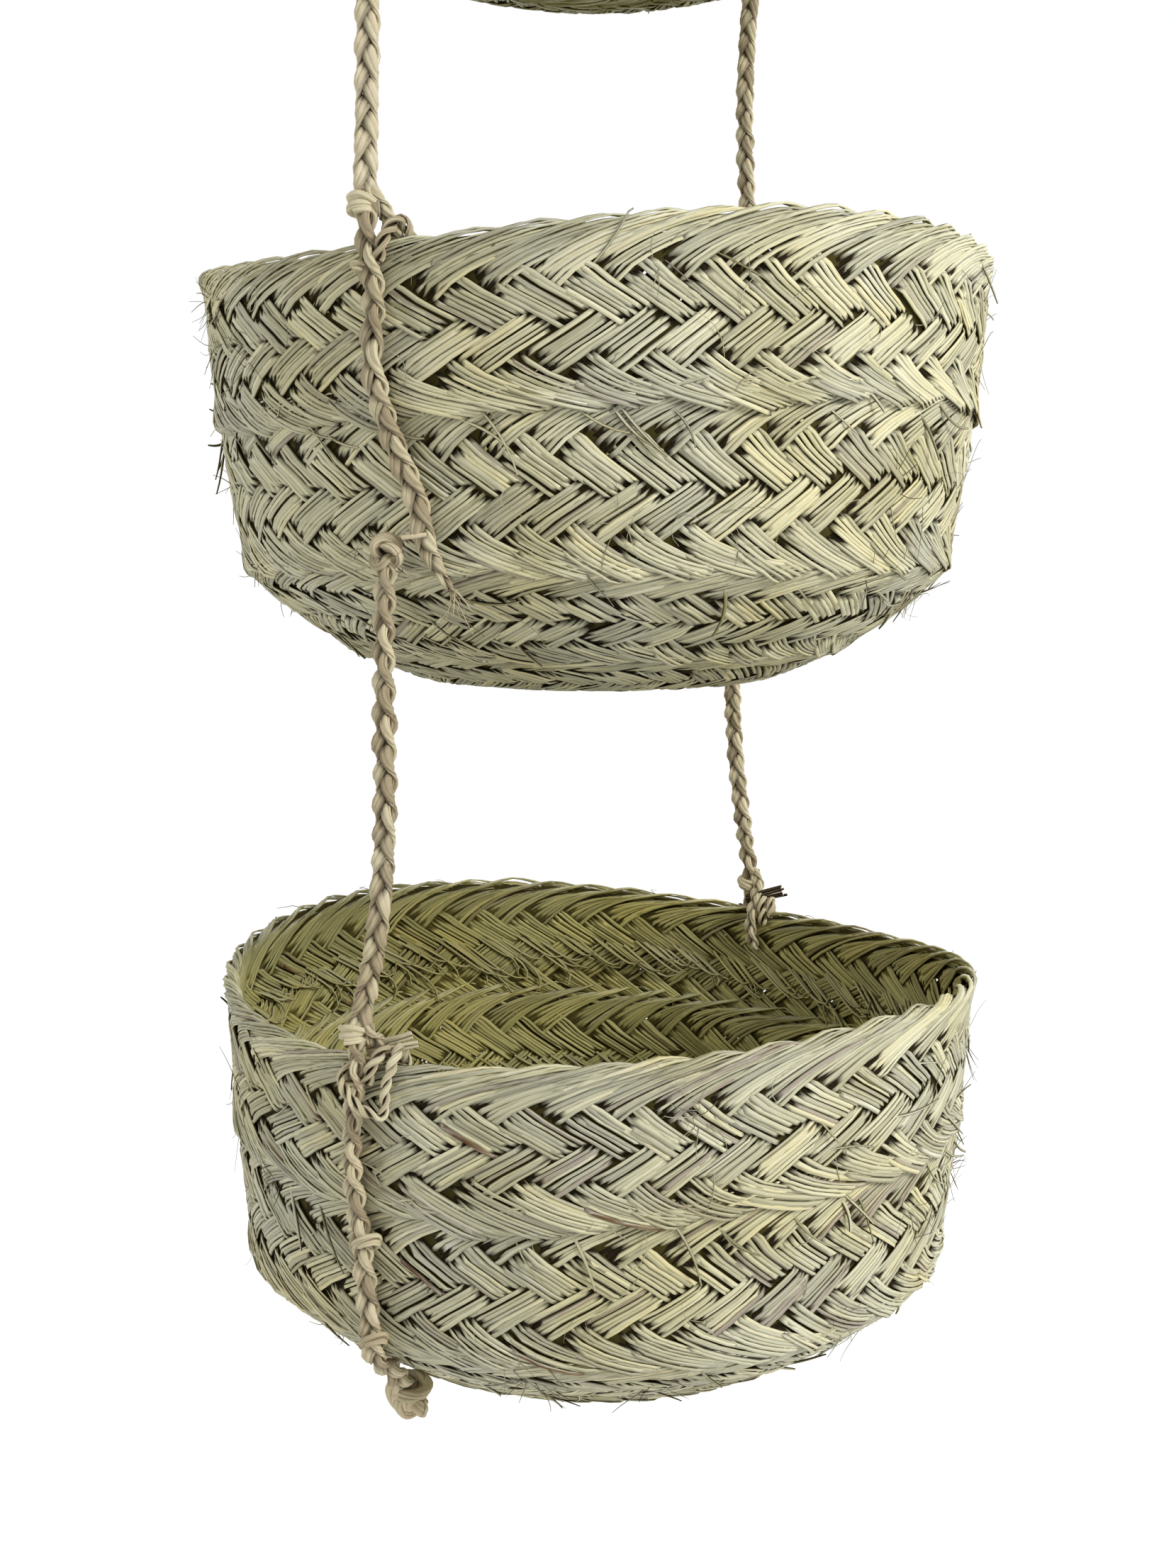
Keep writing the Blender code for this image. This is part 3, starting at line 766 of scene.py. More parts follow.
courses = {
    "rim_course": {
        "top": 0.0018, "low": 0.0594, "rowArcs": (0.0180, 0.0132, 0.0132, 0.0156), "bundles": 46, "plies": 7,
        "lowBias": 0.0011,
    },
    "wall_course": {
        "top": 0.0510, "low": 0.1135, "rowArcs": (0.0196, 0.0134, 0.0134, 0.0161), "bundles": 46, "plies": 7,
        "topBias": -0.0015, "lowBias": 0.0008,
    },
}

pieces = {}
for tierName, tier in tiers.items():
    for course, spec in courses.items():
        obj = makeCourse(f"{tierName}_{course}_plait", tier, spec)
        dress(obj, f"{tierName}_basket", "plaited_grass", f"{tierName}_{course}")
        pieces[obj.name] = obj
    print(tierName, "wall plaited")

# The base: rings of the same plait, closing in on the middle

baseRings = {
    "dome": [
        {"top": -0.0030, "low": 0.0500, "rowArcs": (0.0125, 0.0125, 0.0125, 0.0125), "bundles": 46, "plies": 6,
         "topBias": -0.0007, "lowBias": 0.0005, "fan": 0.7, "step": 0.32},
        {"top": 0.0470, "low": 0.0975, "rowArcs": (0.0125, 0.0125, 0.0125, 0.0125), "bundles": 32, "plies": 6,
         "topBias": -0.0006, "lowBias": 0.0004, "fan": 0.6, "step": 0.32},
    ],
    "flat": [
        {"top": 0.0945, "low": 0.1340, "rowArcs": (0.0105, 0.01, 0.01, 0.0095), "bundles": 20, "plies": 6,
         "topBias": -0.0005, "lowBias": 0.0004, "fan": 0.4, "step": 0.36},
        {"top": 0.1310, "low": 0.1565, "rowArcs": (0.008, 0.006, 0.006, 0.006), "bundles": 9, "plies": 5,
         "topBias": -0.0004, "lowBias": 0.0, "fan": 0.2, "thick": 0.9, "step": 0.4},
    ],
}
for tierName, tier in tiers.items():
    for part, rings in baseRings.items():
        made = []
        for index, spec in enumerate(rings):
            low = min(spec["low"] + tier["seamArc"], tier["endArc"] - 0.004)
            placed = {**spec, "top": spec["top"] + tier["seamArc"], "low": low}
            made.append(makeCourse(f"{tierName}_base_{part}_{index}", tier, placed))
        obj = joinPieces(made, f"{tierName}_base_{part}_plait")
        dress(obj, f"{tierName}_basket", "plaited_grass", f"{tierName}_base")
    print(tierName, "base plaited")

# Loose ends and fine fibres: short strands that lie on the plait and lift off it at their tips

looseKinds = {
    "ends": {"course": "rim", "count": 30, "arc": (0.004, 0.052), "length": (0.012, 0.030), "slope": (-50, 50),
             "bend": (-0.5, 0.5), "lift": (0.0016, 0.0026), "tip": (0.0006, 0.0036), "radius": (0.0004, 0.00075),
             "tone": (0.2, 0.95)},
    "seamEnds": {"course": "rim", "count": 34, "arc": (0.052, 0.062), "length": (0.012, 0.028), "slope": (15, 70),
                 "bend": (-0.9, 0.9), "lift": (0.0018, 0.0030), "tip": (0.001, 0.005), "radius": (0.0004, 0.0008),
                 "tone": (0.15, 0.95)},
    "lowEnds": {"course": "wall", "count": 48, "arc": (0.100, 0.150), "length": (0.012, 0.030), "slope": (5, 75),
                "bend": (-1.0, 1.0), "lift": (0.0016, 0.0024), "tip": (0.0004, 0.0036), "radius": (0.0004, 0.0008),
                "tone": (0.05, 0.9)},
    "hairs": {"course": "wall", "count": 60, "arc": (0.060, 0.135), "length": (0.008, 0.026), "slope": (-180, 180),
              "bend": (-2.6, 2.6), "lift": (0.0018, 0.0030), "tip": (0.0005, 0.006), "radius": (0.00010, 0.00020),
              "tone": (0.3, 1.0)},
    "tufts": {"course": "wall", "count": 120, "arc": (0.058, 0.132), "length": (0.005, 0.016), "slope": (-180, 180),
              "bend": (-1.6, 1.6), "lift": (0.0020, 0.0030), "tip": (0.0005, 0.0060), "radius": (0.00010, 0.00022),
              "tone": (0.0, 0.9), "clusters": 18},
    "insideBand": {"course": "rim", "count": 276, "arc": (0.0255, 0.0275), "length": (0.026, 0.038),
                   "slope": (143, 147), "bend": (-0.10, 0.06), "lift": (-0.0034, -0.0028), "tip": (-0.0018, 0.0002),
                   "radius": (0.00072, 0.00090), "tone": (0.55, 0.97), "bundles": 46, "hook": (0.2, 2.0)},
    "insideLow": {"course": "wall", "count": 184, "arc": (0.084, 0.086), "length": (0.018, 0.032),
                  "slope": (143, 149), "bend": (-0.12, 0.1), "lift": (-0.0034, -0.0028), "tip": (-0.0018, 0.0002),
                  "radius": (0.00070, 0.00086), "tone": (0.5, 0.97), "bundles": 46, "hook": (0.2, 1.8)},
}
looseForm = {
    "points": 8,
    "rootDepth": 0.0022,
    "thinning": 0.45,
    "bundleFill": 0.86,
    "bundleSpread": 0.03,
    "bundleSlant": 0.0035,
    "bundleLengths": (0.6, 1.1),
    "bundleTurn": 0.05,
    "hookWays": (0.3, 0.7),
    "clusterTurn": 0.009,
    "clusterArc": 0.0012,
    "belowSeam": 0.06,
}
looseKinds["rimHairs"] = {**looseKinds["hairs"], "course": "rim", "count": 55, "arc": (0.002, 0.056)}
looseKinds["rimTufts"] = {**looseKinds["tufts"], "course": "rim", "count": 50, "arc": (0.006, 0.056), "clusters": 7}


def makeLoose(name, tier, spec):
    count, points = spec["count"], looseForm["points"]
    t = np.linspace(0, 1, points)[None, :]

    def pick(key):
        return rng.uniform(*spec[key], (count, 1))

    phi = rng.uniform(0, 2 * math.pi, (count, 1))
    heading = np.radians(pick("slope")) + pick("bend") * t ** 1.5
    start, length = pick("arc"), pick("length")
    if "bundles" in spec:  # cut ends of the bundles, side by side, which bend over at their tips
        bundles = spec["bundles"]
        own = (np.arange(count) % bundles)[:, None]
        place = (np.arange(count) // bundles + 0.5)[:, None] * bundles / count - 0.5
        beside = own + looseForm["bundleFill"] * place + gauss(looseForm["bundleSpread"], count, 1)
        phi = 2 * math.pi / bundles * beside
        start = start - looseForm["bundleSlant"] * place
        length = length * rng.uniform(*looseForm["bundleLengths"], bundles)[own]
        heading = heading + gauss(looseForm["bundleTurn"], bundles)[own]
        heading = heading + pick("hook") * rng.choice([-1, 1], (count, 1), p=looseForm["hookWays"]) * t ** 6
    if "clusters" in spec:
        clusters = spec["clusters"]
        own = rng.integers(0, clusters, count)
        phi = rng.uniform(0, 2 * math.pi, (clusters, 1))[own] + gauss(looseForm["clusterTurn"], count, 1)
        start = rng.uniform(*spec["arc"], (clusters, 1))[own] + gauss(looseForm["clusterArc"], count, 1)
    step = length / (points - 1)
    across = np.cumsum(np.cos(heading) * step, 1)
    arc = np.clip(start + np.cumsum(np.sin(heading) * step, 1), 0.001, tier["seamArc"] + looseForm["belowSeam"])
    phi = phi + across / radiusAt(tier, arc)
    face = np.sign(spec["lift"][0])  # outside or inside the bowl
    lift = pick("lift") - looseForm["rootDepth"] * face * (1 - t) ** 3 + pick("tip") * t ** 2.2
    widths = pick("radius") * (1 - looseForm["thinning"] * t ** 2)
    numbers = rng.uniform(*spec["tone"], count)
    out = outwardOnBowl(tier, arc, phi) * face
    return strandMesh(name, onBowl(tier, arc, phi, lift), widths, numbers, out, grass)


for tierName, tier in tiers.items():
    for course in ("rim", "wall"):
        chosen = {kind: spec for kind, spec in looseKinds.items() if spec["course"] == course}
        made = [makeLoose(f"{tierName}_{kind}", tier, spec) for kind, spec in chosen.items()]
        joinPieces([pieces[f"{tierName}_{course}_course_plait"], *made], f"{tierName}_{course}_course_plait")
bpy.data.objects.remove(stripProfile)
print("loose ends laid")

# Braided palm ropes: three flat twisted leaf strands along a route

ropeForm = {
    "strands": 3,
    "period": 0.0300,
    "sideReach": 0.00245,
    "depthReach": 0.00175,
    "strand": 0.00216,
    "turn": 8.0,  # slow twist of the whole braid, radians a metre
    "plump": 1.14,  # a strand's width in the middle of the braid, and how much of it goes at the edges
    "edgeLoss": 0.40,
    "lean": 2.2,
    "tilt": 0.35,
    "tip": 0.32,
    "stripes": 0.17,
    "step": 0.0016,
    "creases": ((0.7, 0.26), (1.9, 0.18), (3.2, 0.24), (4.3, 0.2), (5.4, 0.28)),
    "flatness": 0.62,
    "wallStandoff": 0.0040,
}


# The cross-section of one leaf strand: an oval with sharp creases where the leaf is folded
def leafOutline():
    marks = []
    places = ropeForm["creases"]
    for index, (place, depth) in enumerate(places):
        after = places[(index + 1) % len(places)][0] + (2 * math.pi if index + 1 == len(places) else 0)
        marks += [(place - 0.12, 0.98), (place, 1 - depth), (place + 0.12, 0.98)]
        marks += [(place + (after - place) * share, 1.05) for share in (0.36, 0.64)]
    return [(math.cos(angle) * reach, math.sin(angle) * reach * ropeForm["flatness"]) for angle, reach in marks]


leafProfile = makeProfile("leafProfile", leafOutline())


# Evenly spaced points on a smooth curve through the places.
def smoothRoute(places, step=ropeForm["step"]):
    p = np.array([list(place) for place in places], float)
    ends = np.vstack([2 * p[0] - p[1], p, 2 * p[-1] - p[-2]])
    t = np.linspace(0, 1, 24, endpoint=False)[:, None]
    fine = [
        (2 * b + (c - a) * t + (2 * a - 5 * b + 4 * c - d) * t ** 2 + (3 * b - a - 3 * c + d) * t ** 3) / 2
        for a, b, c, d in zip(ends, ends[1:], ends[2:], ends[3:])
    ]
    fine = np.vstack([*fine, p[-1:]])
    run = runAlong(fine)
    marks = np.linspace(0, run[-1], max(4, round(run[-1] / step) + 1))
    return np.stack([np.interp(marks, run, fine[:, axis]) for axis in range(3)], 1)


# A side and a depth direction, carried along the route without twisting.
def framesAlong(route, side=(1, 0, 0)):
    tangent = unit(np.gradient(route, axis=0))
    across, carried = [], np.array(side, float)
    for direction in tangent:
        carried = carried - direction * (carried @ direction)
        carried /= np.linalg.norm(carried)
        across.append(carried)
    across = np.array(across)
    return across, np.cross(tangent, across)


# Leaf strands of a rope or knot. Its middle and radius tell how deep in it a place lies; deep places get painted
# shade.
def leafStrands(name, paths, widths, numbers, centres, reach, tilts, stripes=0.10, faces=None):
    return strandMesh(
        name, np.array(paths), np.array(widths), numbers, None, palm, profile=leafProfile, tilts=np.array(tilts),
        centres=centres, reach=reach, stripes=stripes, faces=faces,
    )


# A strand's width at each of count points, which swells and thins a little along it.
def variedWidth(width, count, spread=0.08, scale=8):
    return width * (1 + wander(count, spread, scale))


# taper is how many of the last points thin out to a tip.
def makeBraid(name, route, side=(1, 0, 0), scale=1.0, taper=0):
    across, depth = framesAlong(route, side)
    count, run = len(route), runAlong(route)
    first = rng.uniform(0, 2 * math.pi)
    twist = ropeForm["turn"] * (run - run.mean()) * rng.choice([-1, 1])
    turn = 0.25 * math.sin(first) + twist + wander(count, 0.12, 14)
    a = across * np.cos(turn)[:, None] + depth * np.sin(turn)[:, None]
    b = depth * np.cos(turn)[:, None] - across * np.sin(turn)[:, None]
    thin = np.ones(count)
    if taper:
        thin[-taper:] = np.linspace(1, ropeForm["tip"], taper)
    pace = 2 * math.pi * run / (ropeForm["period"] * scale) + wander(count, 0.22, 12)
    paths, widths, tilts, faces = [], [], [], []
    for index in range(ropeForm["strands"]):
        angle = first + pace + 2 * math.pi * index / ropeForm["strands"]
        sideways = ropeForm["sideReach"] * scale * np.sin(angle) * thin
        deep = ropeForm["depthReach"] * scale * np.sin(2 * angle) * thin
        paths.append(route + a * sideways[:, None] + b * deep[:, None])
        plump = ropeForm["plump"] - ropeForm["edgeLoss"] * np.abs(np.sin(angle)) ** 3
        widths.append(variedWidth(ropeForm["strand"] * scale * thin * plump, count, 0.06, 9))
        lean = math.pi / 2 * np.tanh(ropeForm["lean"] * np.cos(angle))
        faces.append(a * np.cos(lean)[:, None] + b * np.sin(lean)[:, None])
        tilts.append(ropeForm["tilt"] * np.sin(angle + 0.8) + wander(count, 0.22, 8))
    reach = (ropeForm["sideReach"] + ropeForm["strand"]) * scale * thin
    numbers = rng.uniform(0.08, 0.92, ropeForm["strands"])
    return leafStrands(name, paths, widths, numbers, route, reach, tilts, ropeForm["stripes"], np.array(faces))


def centreOf(node):
    low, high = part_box(node)
    return (low + high) / 2


# Knots: an overhand knot of two leaf strands, drawn tight

# shade shrinks the depth that a knot's painted shade is measured against, so less of the knot is painted dark.
knotForm = {"ring": 0.0040, "swell": 0.0024, "strand": 0.0019, "apart": 0.0021, "points": 72, "shade": 0.8}


# The knot's face looks along facing; up is the rope's own direction.
def makeKnot(name, centre, facing, up, scale=1.0, squash=0.85, strand=1.0, tones=(0.15, 0.9)):
    facing, up = np.array(facing, float), np.array(up, float)
    sideways = np.cross(up, facing)
    t = np.linspace(0, 4 * math.pi, knotForm["points"])
    first = rng.uniform(0, 1.0)
    swell, apart = knotForm["swell"], knotForm["apart"]
    paths, widths, tilts = [], [], []
    for index, offset in enumerate((-0.5, 0.5)):
        ring = (knotForm["ring"] + swell * np.cos(1.5 * t + first) + offset * apart * 0.55) * scale
        high = (swell * np.sin(1.5 * t + first) + offset * apart * 0.6) * scale
        wobble = wander(len(t), 0.00025, 9)
        path = (
            np.outer(ring * np.cos(t) + wobble, sideways)
            + np.outer((ring * np.sin(t) + wobble) * squash, up)
            + np.outer(high, facing)
        )
        paths.append(np.array(centre, float) + path)
        widths.append(variedWidth(knotForm["strand"] * strand * scale, len(t)))
        tilts.append(np.linspace(0, 7, len(t)) + index * 2 + wander(len(t), 0.3, 10))
    size = knotForm["ring"] + swell + knotForm["strand"]
    return leafStrands(name, paths, widths, rng.uniform(*tones, 2), centre, size * knotForm["shade"] * scale, tilts)


# Turns of one leaf strand round a rope, drawn tight. Its end climbs back over them in the last radians, climb.
wrapForm = {"pointsPerTurn": 24, "climb": 3.4, "climbShare": 0.72, "bulge": 1.1}


def makeWrap(name, centre, axis, start, turns=2.6, reach=0.0034, strand=0.0017, pitch=0.0023, lean=0.25):
    axis, start = np.array(axis, float), np.array(start, float)
    axis /= np.linalg.norm(axis)
    start = start - axis * (start @ axis)
    start /= np.linalg.norm(start)
    t = np.linspace(0, 2 * math.pi * turns, int(turns * wrapForm["pointsPerTurn"]))
    ease = np.clip((t - t[-1] + wrapForm["climb"]) / wrapForm["climb"], 0, 1)
    high = pitch * (t / (2 * math.pi) - turns / 2) - ease * pitch * turns * wrapForm["climbShare"]
    high = high + lean * reach * np.sin(t + 0.6)
    out = reach + ease * np.sin(np.pi * ease) * strand * wrapForm["bulge"] + wander(len(t), 0.00015, 7)
    path = (
        np.array(centre, float) + np.outer(out * np.cos(t), start)
        + np.outer(out * np.sin(t), np.cross(axis, start)) + np.outer(high, axis)
    )
    widths = variedWidth(strand, len(t))
    number = rng.uniform(0.25, 0.8, 1)
    core = np.array(centre, float) + np.outer(high, axis)
    tilts = np.linspace(0, 5, len(t)) + wander(len(t), 0.2, 9)
    return leafStrands(name, [path], [widths], number, core, reach + strand, [tilts])


# A thin cord laid up from two strips, thinning out at its end. apart, strip and reach are shares of its radius.
twistForm = {
    "plies": 2, "step": 0.0011, "turnLength": 0.011, "apart": 0.52, "strip": 0.60, "reach": 1.15, "tip": 0.35,
    "roll": 260,  # radians a metre
}


def makeTwist(name, places, radius, taper):
    plies = twistForm["plies"]
    route = smoothRoute(places, twistForm["step"])
    across, depth = framesAlong(route)
    count, run = len(route), runAlong(route)
    thin = np.ones(count)
    thin[-taper:] = np.linspace(1, twistForm["tip"], taper)
    apart, reach = radius * twistForm["apart"] * thin, radius * twistForm["reach"] * thin
    paths, widths = [], []
    for index in range(plies):
        angle = 2 * math.pi * (run / twistForm["turnLength"] + index / plies)
        paths.append(route + across * (apart * np.cos(angle))[:, None] + depth * (apart * np.sin(angle))[:, None])
        widths.append(variedWidth(radius * twistForm["strip"] * thin, count))
    numbers = rng.uniform(0.2, 0.8, plies)
    return leafStrands(name, paths, widths, numbers, route, reach, [run * twistForm["roll"]] * plies, 0.08)


# A tuft of fine fibres at a rope's end.
fraysForm = {
    "points": 7, "radius": 0.00028, "curl": 0.35, "root": 0.0006, "lengths": (0.5, 1.2), "thinning": 0.7,
    "widths": (0.7, 1.3),
}


def makeFrays(name, tip, heading, count, length, spread=0.5):
    tip, heading = np.array(tip, float), np.array(heading, float)
    heading /= np.linalg.norm(heading)
    t = np.linspace(0, 1, fraysForm["points"])[None, :, None]
    aims = unit(heading + gauss(spread, count, 3))
    curls = gauss(fraysForm["curl"], count, 3)
    reach = length * rng.uniform(*fraysForm["lengths"], (count, 1, 1))
    paths = tip + gauss(fraysForm["root"], count, 1, 3) + reach * (aims[:, None] * t + curls[:, None] * t * t)
    widths = fraysForm["radius"] * (1 - fraysForm["thinning"] * t[..., 0])
    widths = widths * rng.uniform(*fraysForm["widths"], (count, 1))
    return strandMesh(name, paths, widths, rng.uniform(0.3, 0.9, count), (0, 0, 1), palm)


# The flat cut end of a leaf strip.
def makeStub(name, root, tip, width, facing):
    root, tip, facing = (np.array(v, float) for v in (root, tip, facing))
    places = np.array([root, (root + tip) / 2 + facing * 0.0006, tip])[None]
    widths = np.array([[width, width * 1.05, width * 0.8]])
    return strandMesh(name, places, widths, np.array([0.85]), facing, palm, sides=2)


sides = {"front": -math.pi / 2, "back": math.pi / 2}
asideOf = {  # how far each rope lies to one side of the solids' line, in metres of x
    ("middle", "front"): 0.0022, ("lower", "front"): -0.0095, ("lower", "back"): 0.0025,
}
knotShifts = {"lower_end_knot_front": -0.0045, "middle_seam_knot_back": -0.0050, "top_seam_knot_front": 0.0022}
bows = {  # sideways reach of each free rope, and how far down its widest place lies
    ("middle", "front"): (0.0006, 1.0), ("middle", "back"): (-0.0060, 1.0),
    ("lower", "front"): (0.0066, 1.6), ("lower", "back"): (-0.0060, 1.0),
}
ropeWay = {
    "sways": ((0.035, 0.0), (0.2, 0.55), (0.4, -0.35), (0.6, 0.6), (0.8, 0.0)),
    "leftSways": ((0.035, -0.2), (0.2, -1.2), (0.4, -1.7), (0.6, -1.0), (0.8, -0.4)),  # lower tier, front
    "tailTurns": ((0.6, 0.25), (0.82, 0.8), (1.0, 1.0)),
    "drift": 0.0024,
    "knotShare": 0.9196,
    "besideKnot": 0.0125,
    "tailFlare": 0.0042,
    "tailShare": 0.12,
    "endShares": (0.16, 0.27),
}


# The angle round the basket of a place that lies so far beside a rope
def besideRope(tier, sideName, drift, radius):
    azimuth = sides[sideName]
    drift = drift + asideOf.get((tier["name"], sideName), 0)
    return np.array(azimuth - math.copysign(1, azimuth) * drift / radius)


# A place on the wall or the base, by its share of the way down, beside the rope and off the surface
def wallPlace(tier, sideName, share, drift, standoff, arcs="wallArcs"):
    arc = np.interp(share, np.linspace(0, 1, len(tier[arcs])), tier[arcs])
    return onBowl(tier, arc, besideRope(tier, sideName, drift, radiusAt(tier, arc)), bowl["midDepth"] + standoff)


def onRim(tier, sideName, drift, height):
    return onBowl(tier, -height, besideRope(tier, sideName, drift, bowl["rimRadius"]), 0)


def outFrom(sideName):
    return np.array([0, math.copysign(1, sides[sideName]), 0])


def knotPlace(node):
    tierName, _, _, sideName = node.split("_")
    shift = asideOf.get((tierName, sideName), 0) + knotShifts.get(node, 0)
    return np.array(centreOf(node)) + np.array([shift, 0, 0])


# From the rim knot down the wall, to the end knot or to a tail beside the seam knot
def makeWallRope(tier, sideName):
    name, off, way = tier["name"], ropeForm["wallStandoff"], ropeWay
    isLower = name == "lower"
    sways = way["leftSways" if isLower and sideName == "front" else "sways"][:5 if isLower else 3]
    turns = [(share, way["drift"] * sway) for share, sway in sways]
    if not isLower:
        turns += [(share, way["besideKnot"] * sway) for share, sway in way["tailTurns"]]
    places = [knotPlace(f"{name}_rim_knot_{sideName}")]
    places += [wallPlace(tier, sideName, share * way["knotShare"], drift, off) for share, drift in turns]
    if isLower:
        places.append(wallPlace(tier, sideName, 1, 0, off))
        places += [wallPlace(tier, sideName, share, 0, off, "baseArcs") for share in way["endShares"]]
        places.append(knotPlace(f"lower_end_knot_{sideName}"))
    else:
        places.append(tailPlace(tier, sideName, 0.0022))
    return makeBraid(f"{name}_rope_{sideName}_onWall", smoothRoute(places), taper=0 if isLower else 12)


def tailPlace(tier, sideName, standoff):
    aside = ropeWay["besideKnot"] + ropeWay["tailFlare"]
    return wallPlace(tier, sideName, ropeWay["tailShare"], aside, standoff, "baseArcs")


# Cut leaf ends that stick out beside the lowest rim knots. height is the mean and the spread off the surface.
sheafForm = {
    "count": 9, "points": 6, "length": 0.0150, "behind": -0.35, "reach": 0.0022, "tipSpread": 0.07, "fan": 0.0007,
    "height": (0.0006, 0.0008), "rise": 0.0016, "radius": 0.00058, "widths": (0.8, 1.15),
}


def makeSheaf(name, root, heading, facing):
    count = sheafForm["count"]
    root, heading, facing = (np.array(v, float) for v in (root, heading, facing))
    heading /= np.linalg.norm(heading)
    up = np.cross(facing, heading)
    t = np.linspace(sheafForm["behind"], 1, sheafForm["points"])[None, :, None]
    aside = np.linspace(-1, 1, count)[:, None, None]
    paths = (
        root + heading * sheafForm["length"] * (t + gauss(sheafForm["tipSpread"], count, 1, 1) * (t > 0.7))
        + up * (aside * sheafForm["reach"] + gauss(sheafForm["fan"], count, 1, 1) * t)
        + facing * (rng.normal(*sheafForm["height"], (count, 1, 1)) + sheafForm["rise"] * t)
    )
    widths = np.full((count, sheafForm["points"]), sheafForm["radius"])
    widths = widths * rng.uniform(*sheafForm["widths"], (count, 1))
    return strandMesh(name, paths, widths, rng.uniform(0.45, 0.85, count), facing, palm)


# A way over the wall: shares of the way down, drifts and standoffs. No share means on the rim's edge.
def wayOver(tier, sideName, places):
    return [
        onRim(tier, sideName, drift, off) if share is None else wallPlace(tier, sideName, share, drift, off)
        for share, drift, off in places
    ]


rimKnot = {
    "wrap": (-0.0016, 0, 0.0014),
    "legScale": 0.74,
    "legTop": ((0.0006, 0.0072, 0.0005), (0.0040, 0.0010, 0.0020), (0.0052, -0.0050, 0.0075)),  # x, z and inwards
    "leg": ((0.07, 0.0054, -0.0075), (0.16, 0.0058, -0.0062), (0.21, 0.0060, -0.0008)),
    "over": (
        (0.075, 0.0035, 0.0042), (0.010, 0.0062, 0.0046), (None, 0.0088, 0.0046), (0.020, 0.0104, -0.0052),
        (0.080, 0.0112, -0.0048),
    ),
    "overRadius": 0.0022,
    "lace": (
        (0.020, -0.0050, 0.0040), (0.070, -0.0040, 0.0082), (0.130, 0.0030, 0.0094), (0.175, 0.0085, 0.0052),
        (0.150, 0.0104, 0.0040), (0.070, 0.0112, 0.0040), (None, 0.0138, 0.0044), (0.040, 0.0150, -0.0050),
    ),
    "laceRadius": 0.0019,
    "cutEnds": (0.0050, 0.0035),
    "hitch": (0.085, -0.0030, 0.0052),
    "hitchTurns": {"turns": 1.7, "reach": 0.0019, "strand": 0.0012, "pitch": 0.0017},
}


# The wrap round the rope over the rim, and the second leg that goes down inside.
def makeRimKnot(tier, sideName):
    node = f"{tier['name']}_rim_knot_{sideName}"
    centre, out = knotPlace(node), outFrom(sideName)
    made = [makeWrap(f"{node}_wrap", centre + rimKnot["wrap"], (0.08, 0, 1), out)]
    leg = [centre + np.array([x, 0, z]) - out * inwards for x, z, inwards in rimKnot["legTop"]]
    leg += wayOver(tier, sideName, rimKnot["leg"])
    made.append(makeBraid(f"{node}_leg", smoothRoute(leg), scale=rimKnot["legScale"], taper=4))
    made.append(makeTwist(f"{node}_over", wayOver(tier, sideName, rimKnot["over"]), rimKnot["overRadius"], taper=2))
    if tier["name"] == "lower":
        lace = wayOver(tier, sideName, rimKnot["lace"])
        made.append(makeTwist(f"{node}_lace", lace, rimKnot["laceRadius"], taper=2))
        heading = (0.93, -0.1 * sides[sideName], 0.32)
        made.append(makeSheaf(f"{node}_cutEnds", onRim(tier, sideName, *rimKnot["cutEnds"]), heading, out))
    place = wallPlace(tier, sideName, *rimKnot["hitch"])
    made.append(makeWrap(f"{node}_hitch", place, (0.3, 0, 1), out, **rimKnot["hitchTurns"]))
    return joinPieces(made, f"{node}_tied")


# Where the next stretch of rope starts: a knot, a cut strip and a frayed twist beside it.
seamKnot = {
    "ball": {"scale": 0.84, "strand": 1.12},
    "stripRoot": (0.006, 0, 0.0052),
    "strip": (0.0088, 0, 0.0009),
    "stripWidth": 0.0009,
    "frays": (0.003, 0, -0.004),
    "fraysLength": 0.009,
}


def makeSeamKnot(tier, sideName):
    node = f"{tier['name']}_seam_knot_{sideName}"
    centre, out = knotPlace(node), outFrom(sideName)
    root = centre + np.array(seamKnot["stripRoot"]) - out * 0.0004
    tip = root + np.array(seamKnot["strip"]) - out * 0.001
    heading = (0.7, -0.4 * sides[sideName], -0.5)
    return joinPieces([
        makeKnot(f"{node}_ball", centre, out, (0, 0, 1), **seamKnot["ball"]),
        makeStub(f"{node}_strip", root, tip, seamKnot["stripWidth"], out),
        makeFrays(f"{node}_frays", centre + seamKnot["frays"], heading, 7, seamKnot["fraysLength"]),
    ], f"{node}_tied")


# The large knot at the bottom: two knots in each other, under a collar of leaf.
endKnot = {
    "ball": {"scale": 1.08, "strand": 1.30, "tones": (0.6, 0.84)},
    "heart": {"scale": 0.92, "squash": 1.0, "strand": 1.5, "tones": (0.6, 0.84)},
    "collar": {"turns": 1.6, "reach": 0.0048, "strand": 0.0024, "pitch": 0.0026, "lean": 0.35},
    "drop": 0.0020,
    "collarRise": 0.0062,
}


def makeEndKnot(tier, sideName):
    node = f"{tier['name']}_end_knot_{sideName}"
    centre, out = knotPlace(node), outFrom(sideName)
    facing = out * 0.86 + np.array([0, 0, -0.5])
    up = np.array([0.35, out[1] * 0.45, 0.82])
    low, high = centre - up * endKnot["drop"], centre + up * endKnot["collarRise"]
    return joinPieces([
        makeKnot(f"{node}_ball", low, facing, up, **endKnot["ball"]),
        makeKnot(f"{node}_heart", low, np.cross(up, facing), up, **endKnot["heart"]),
        makeWrap(f"{node}_collar", high, up, out, **endKnot["collar"]),
    ], f"{node}_tied")


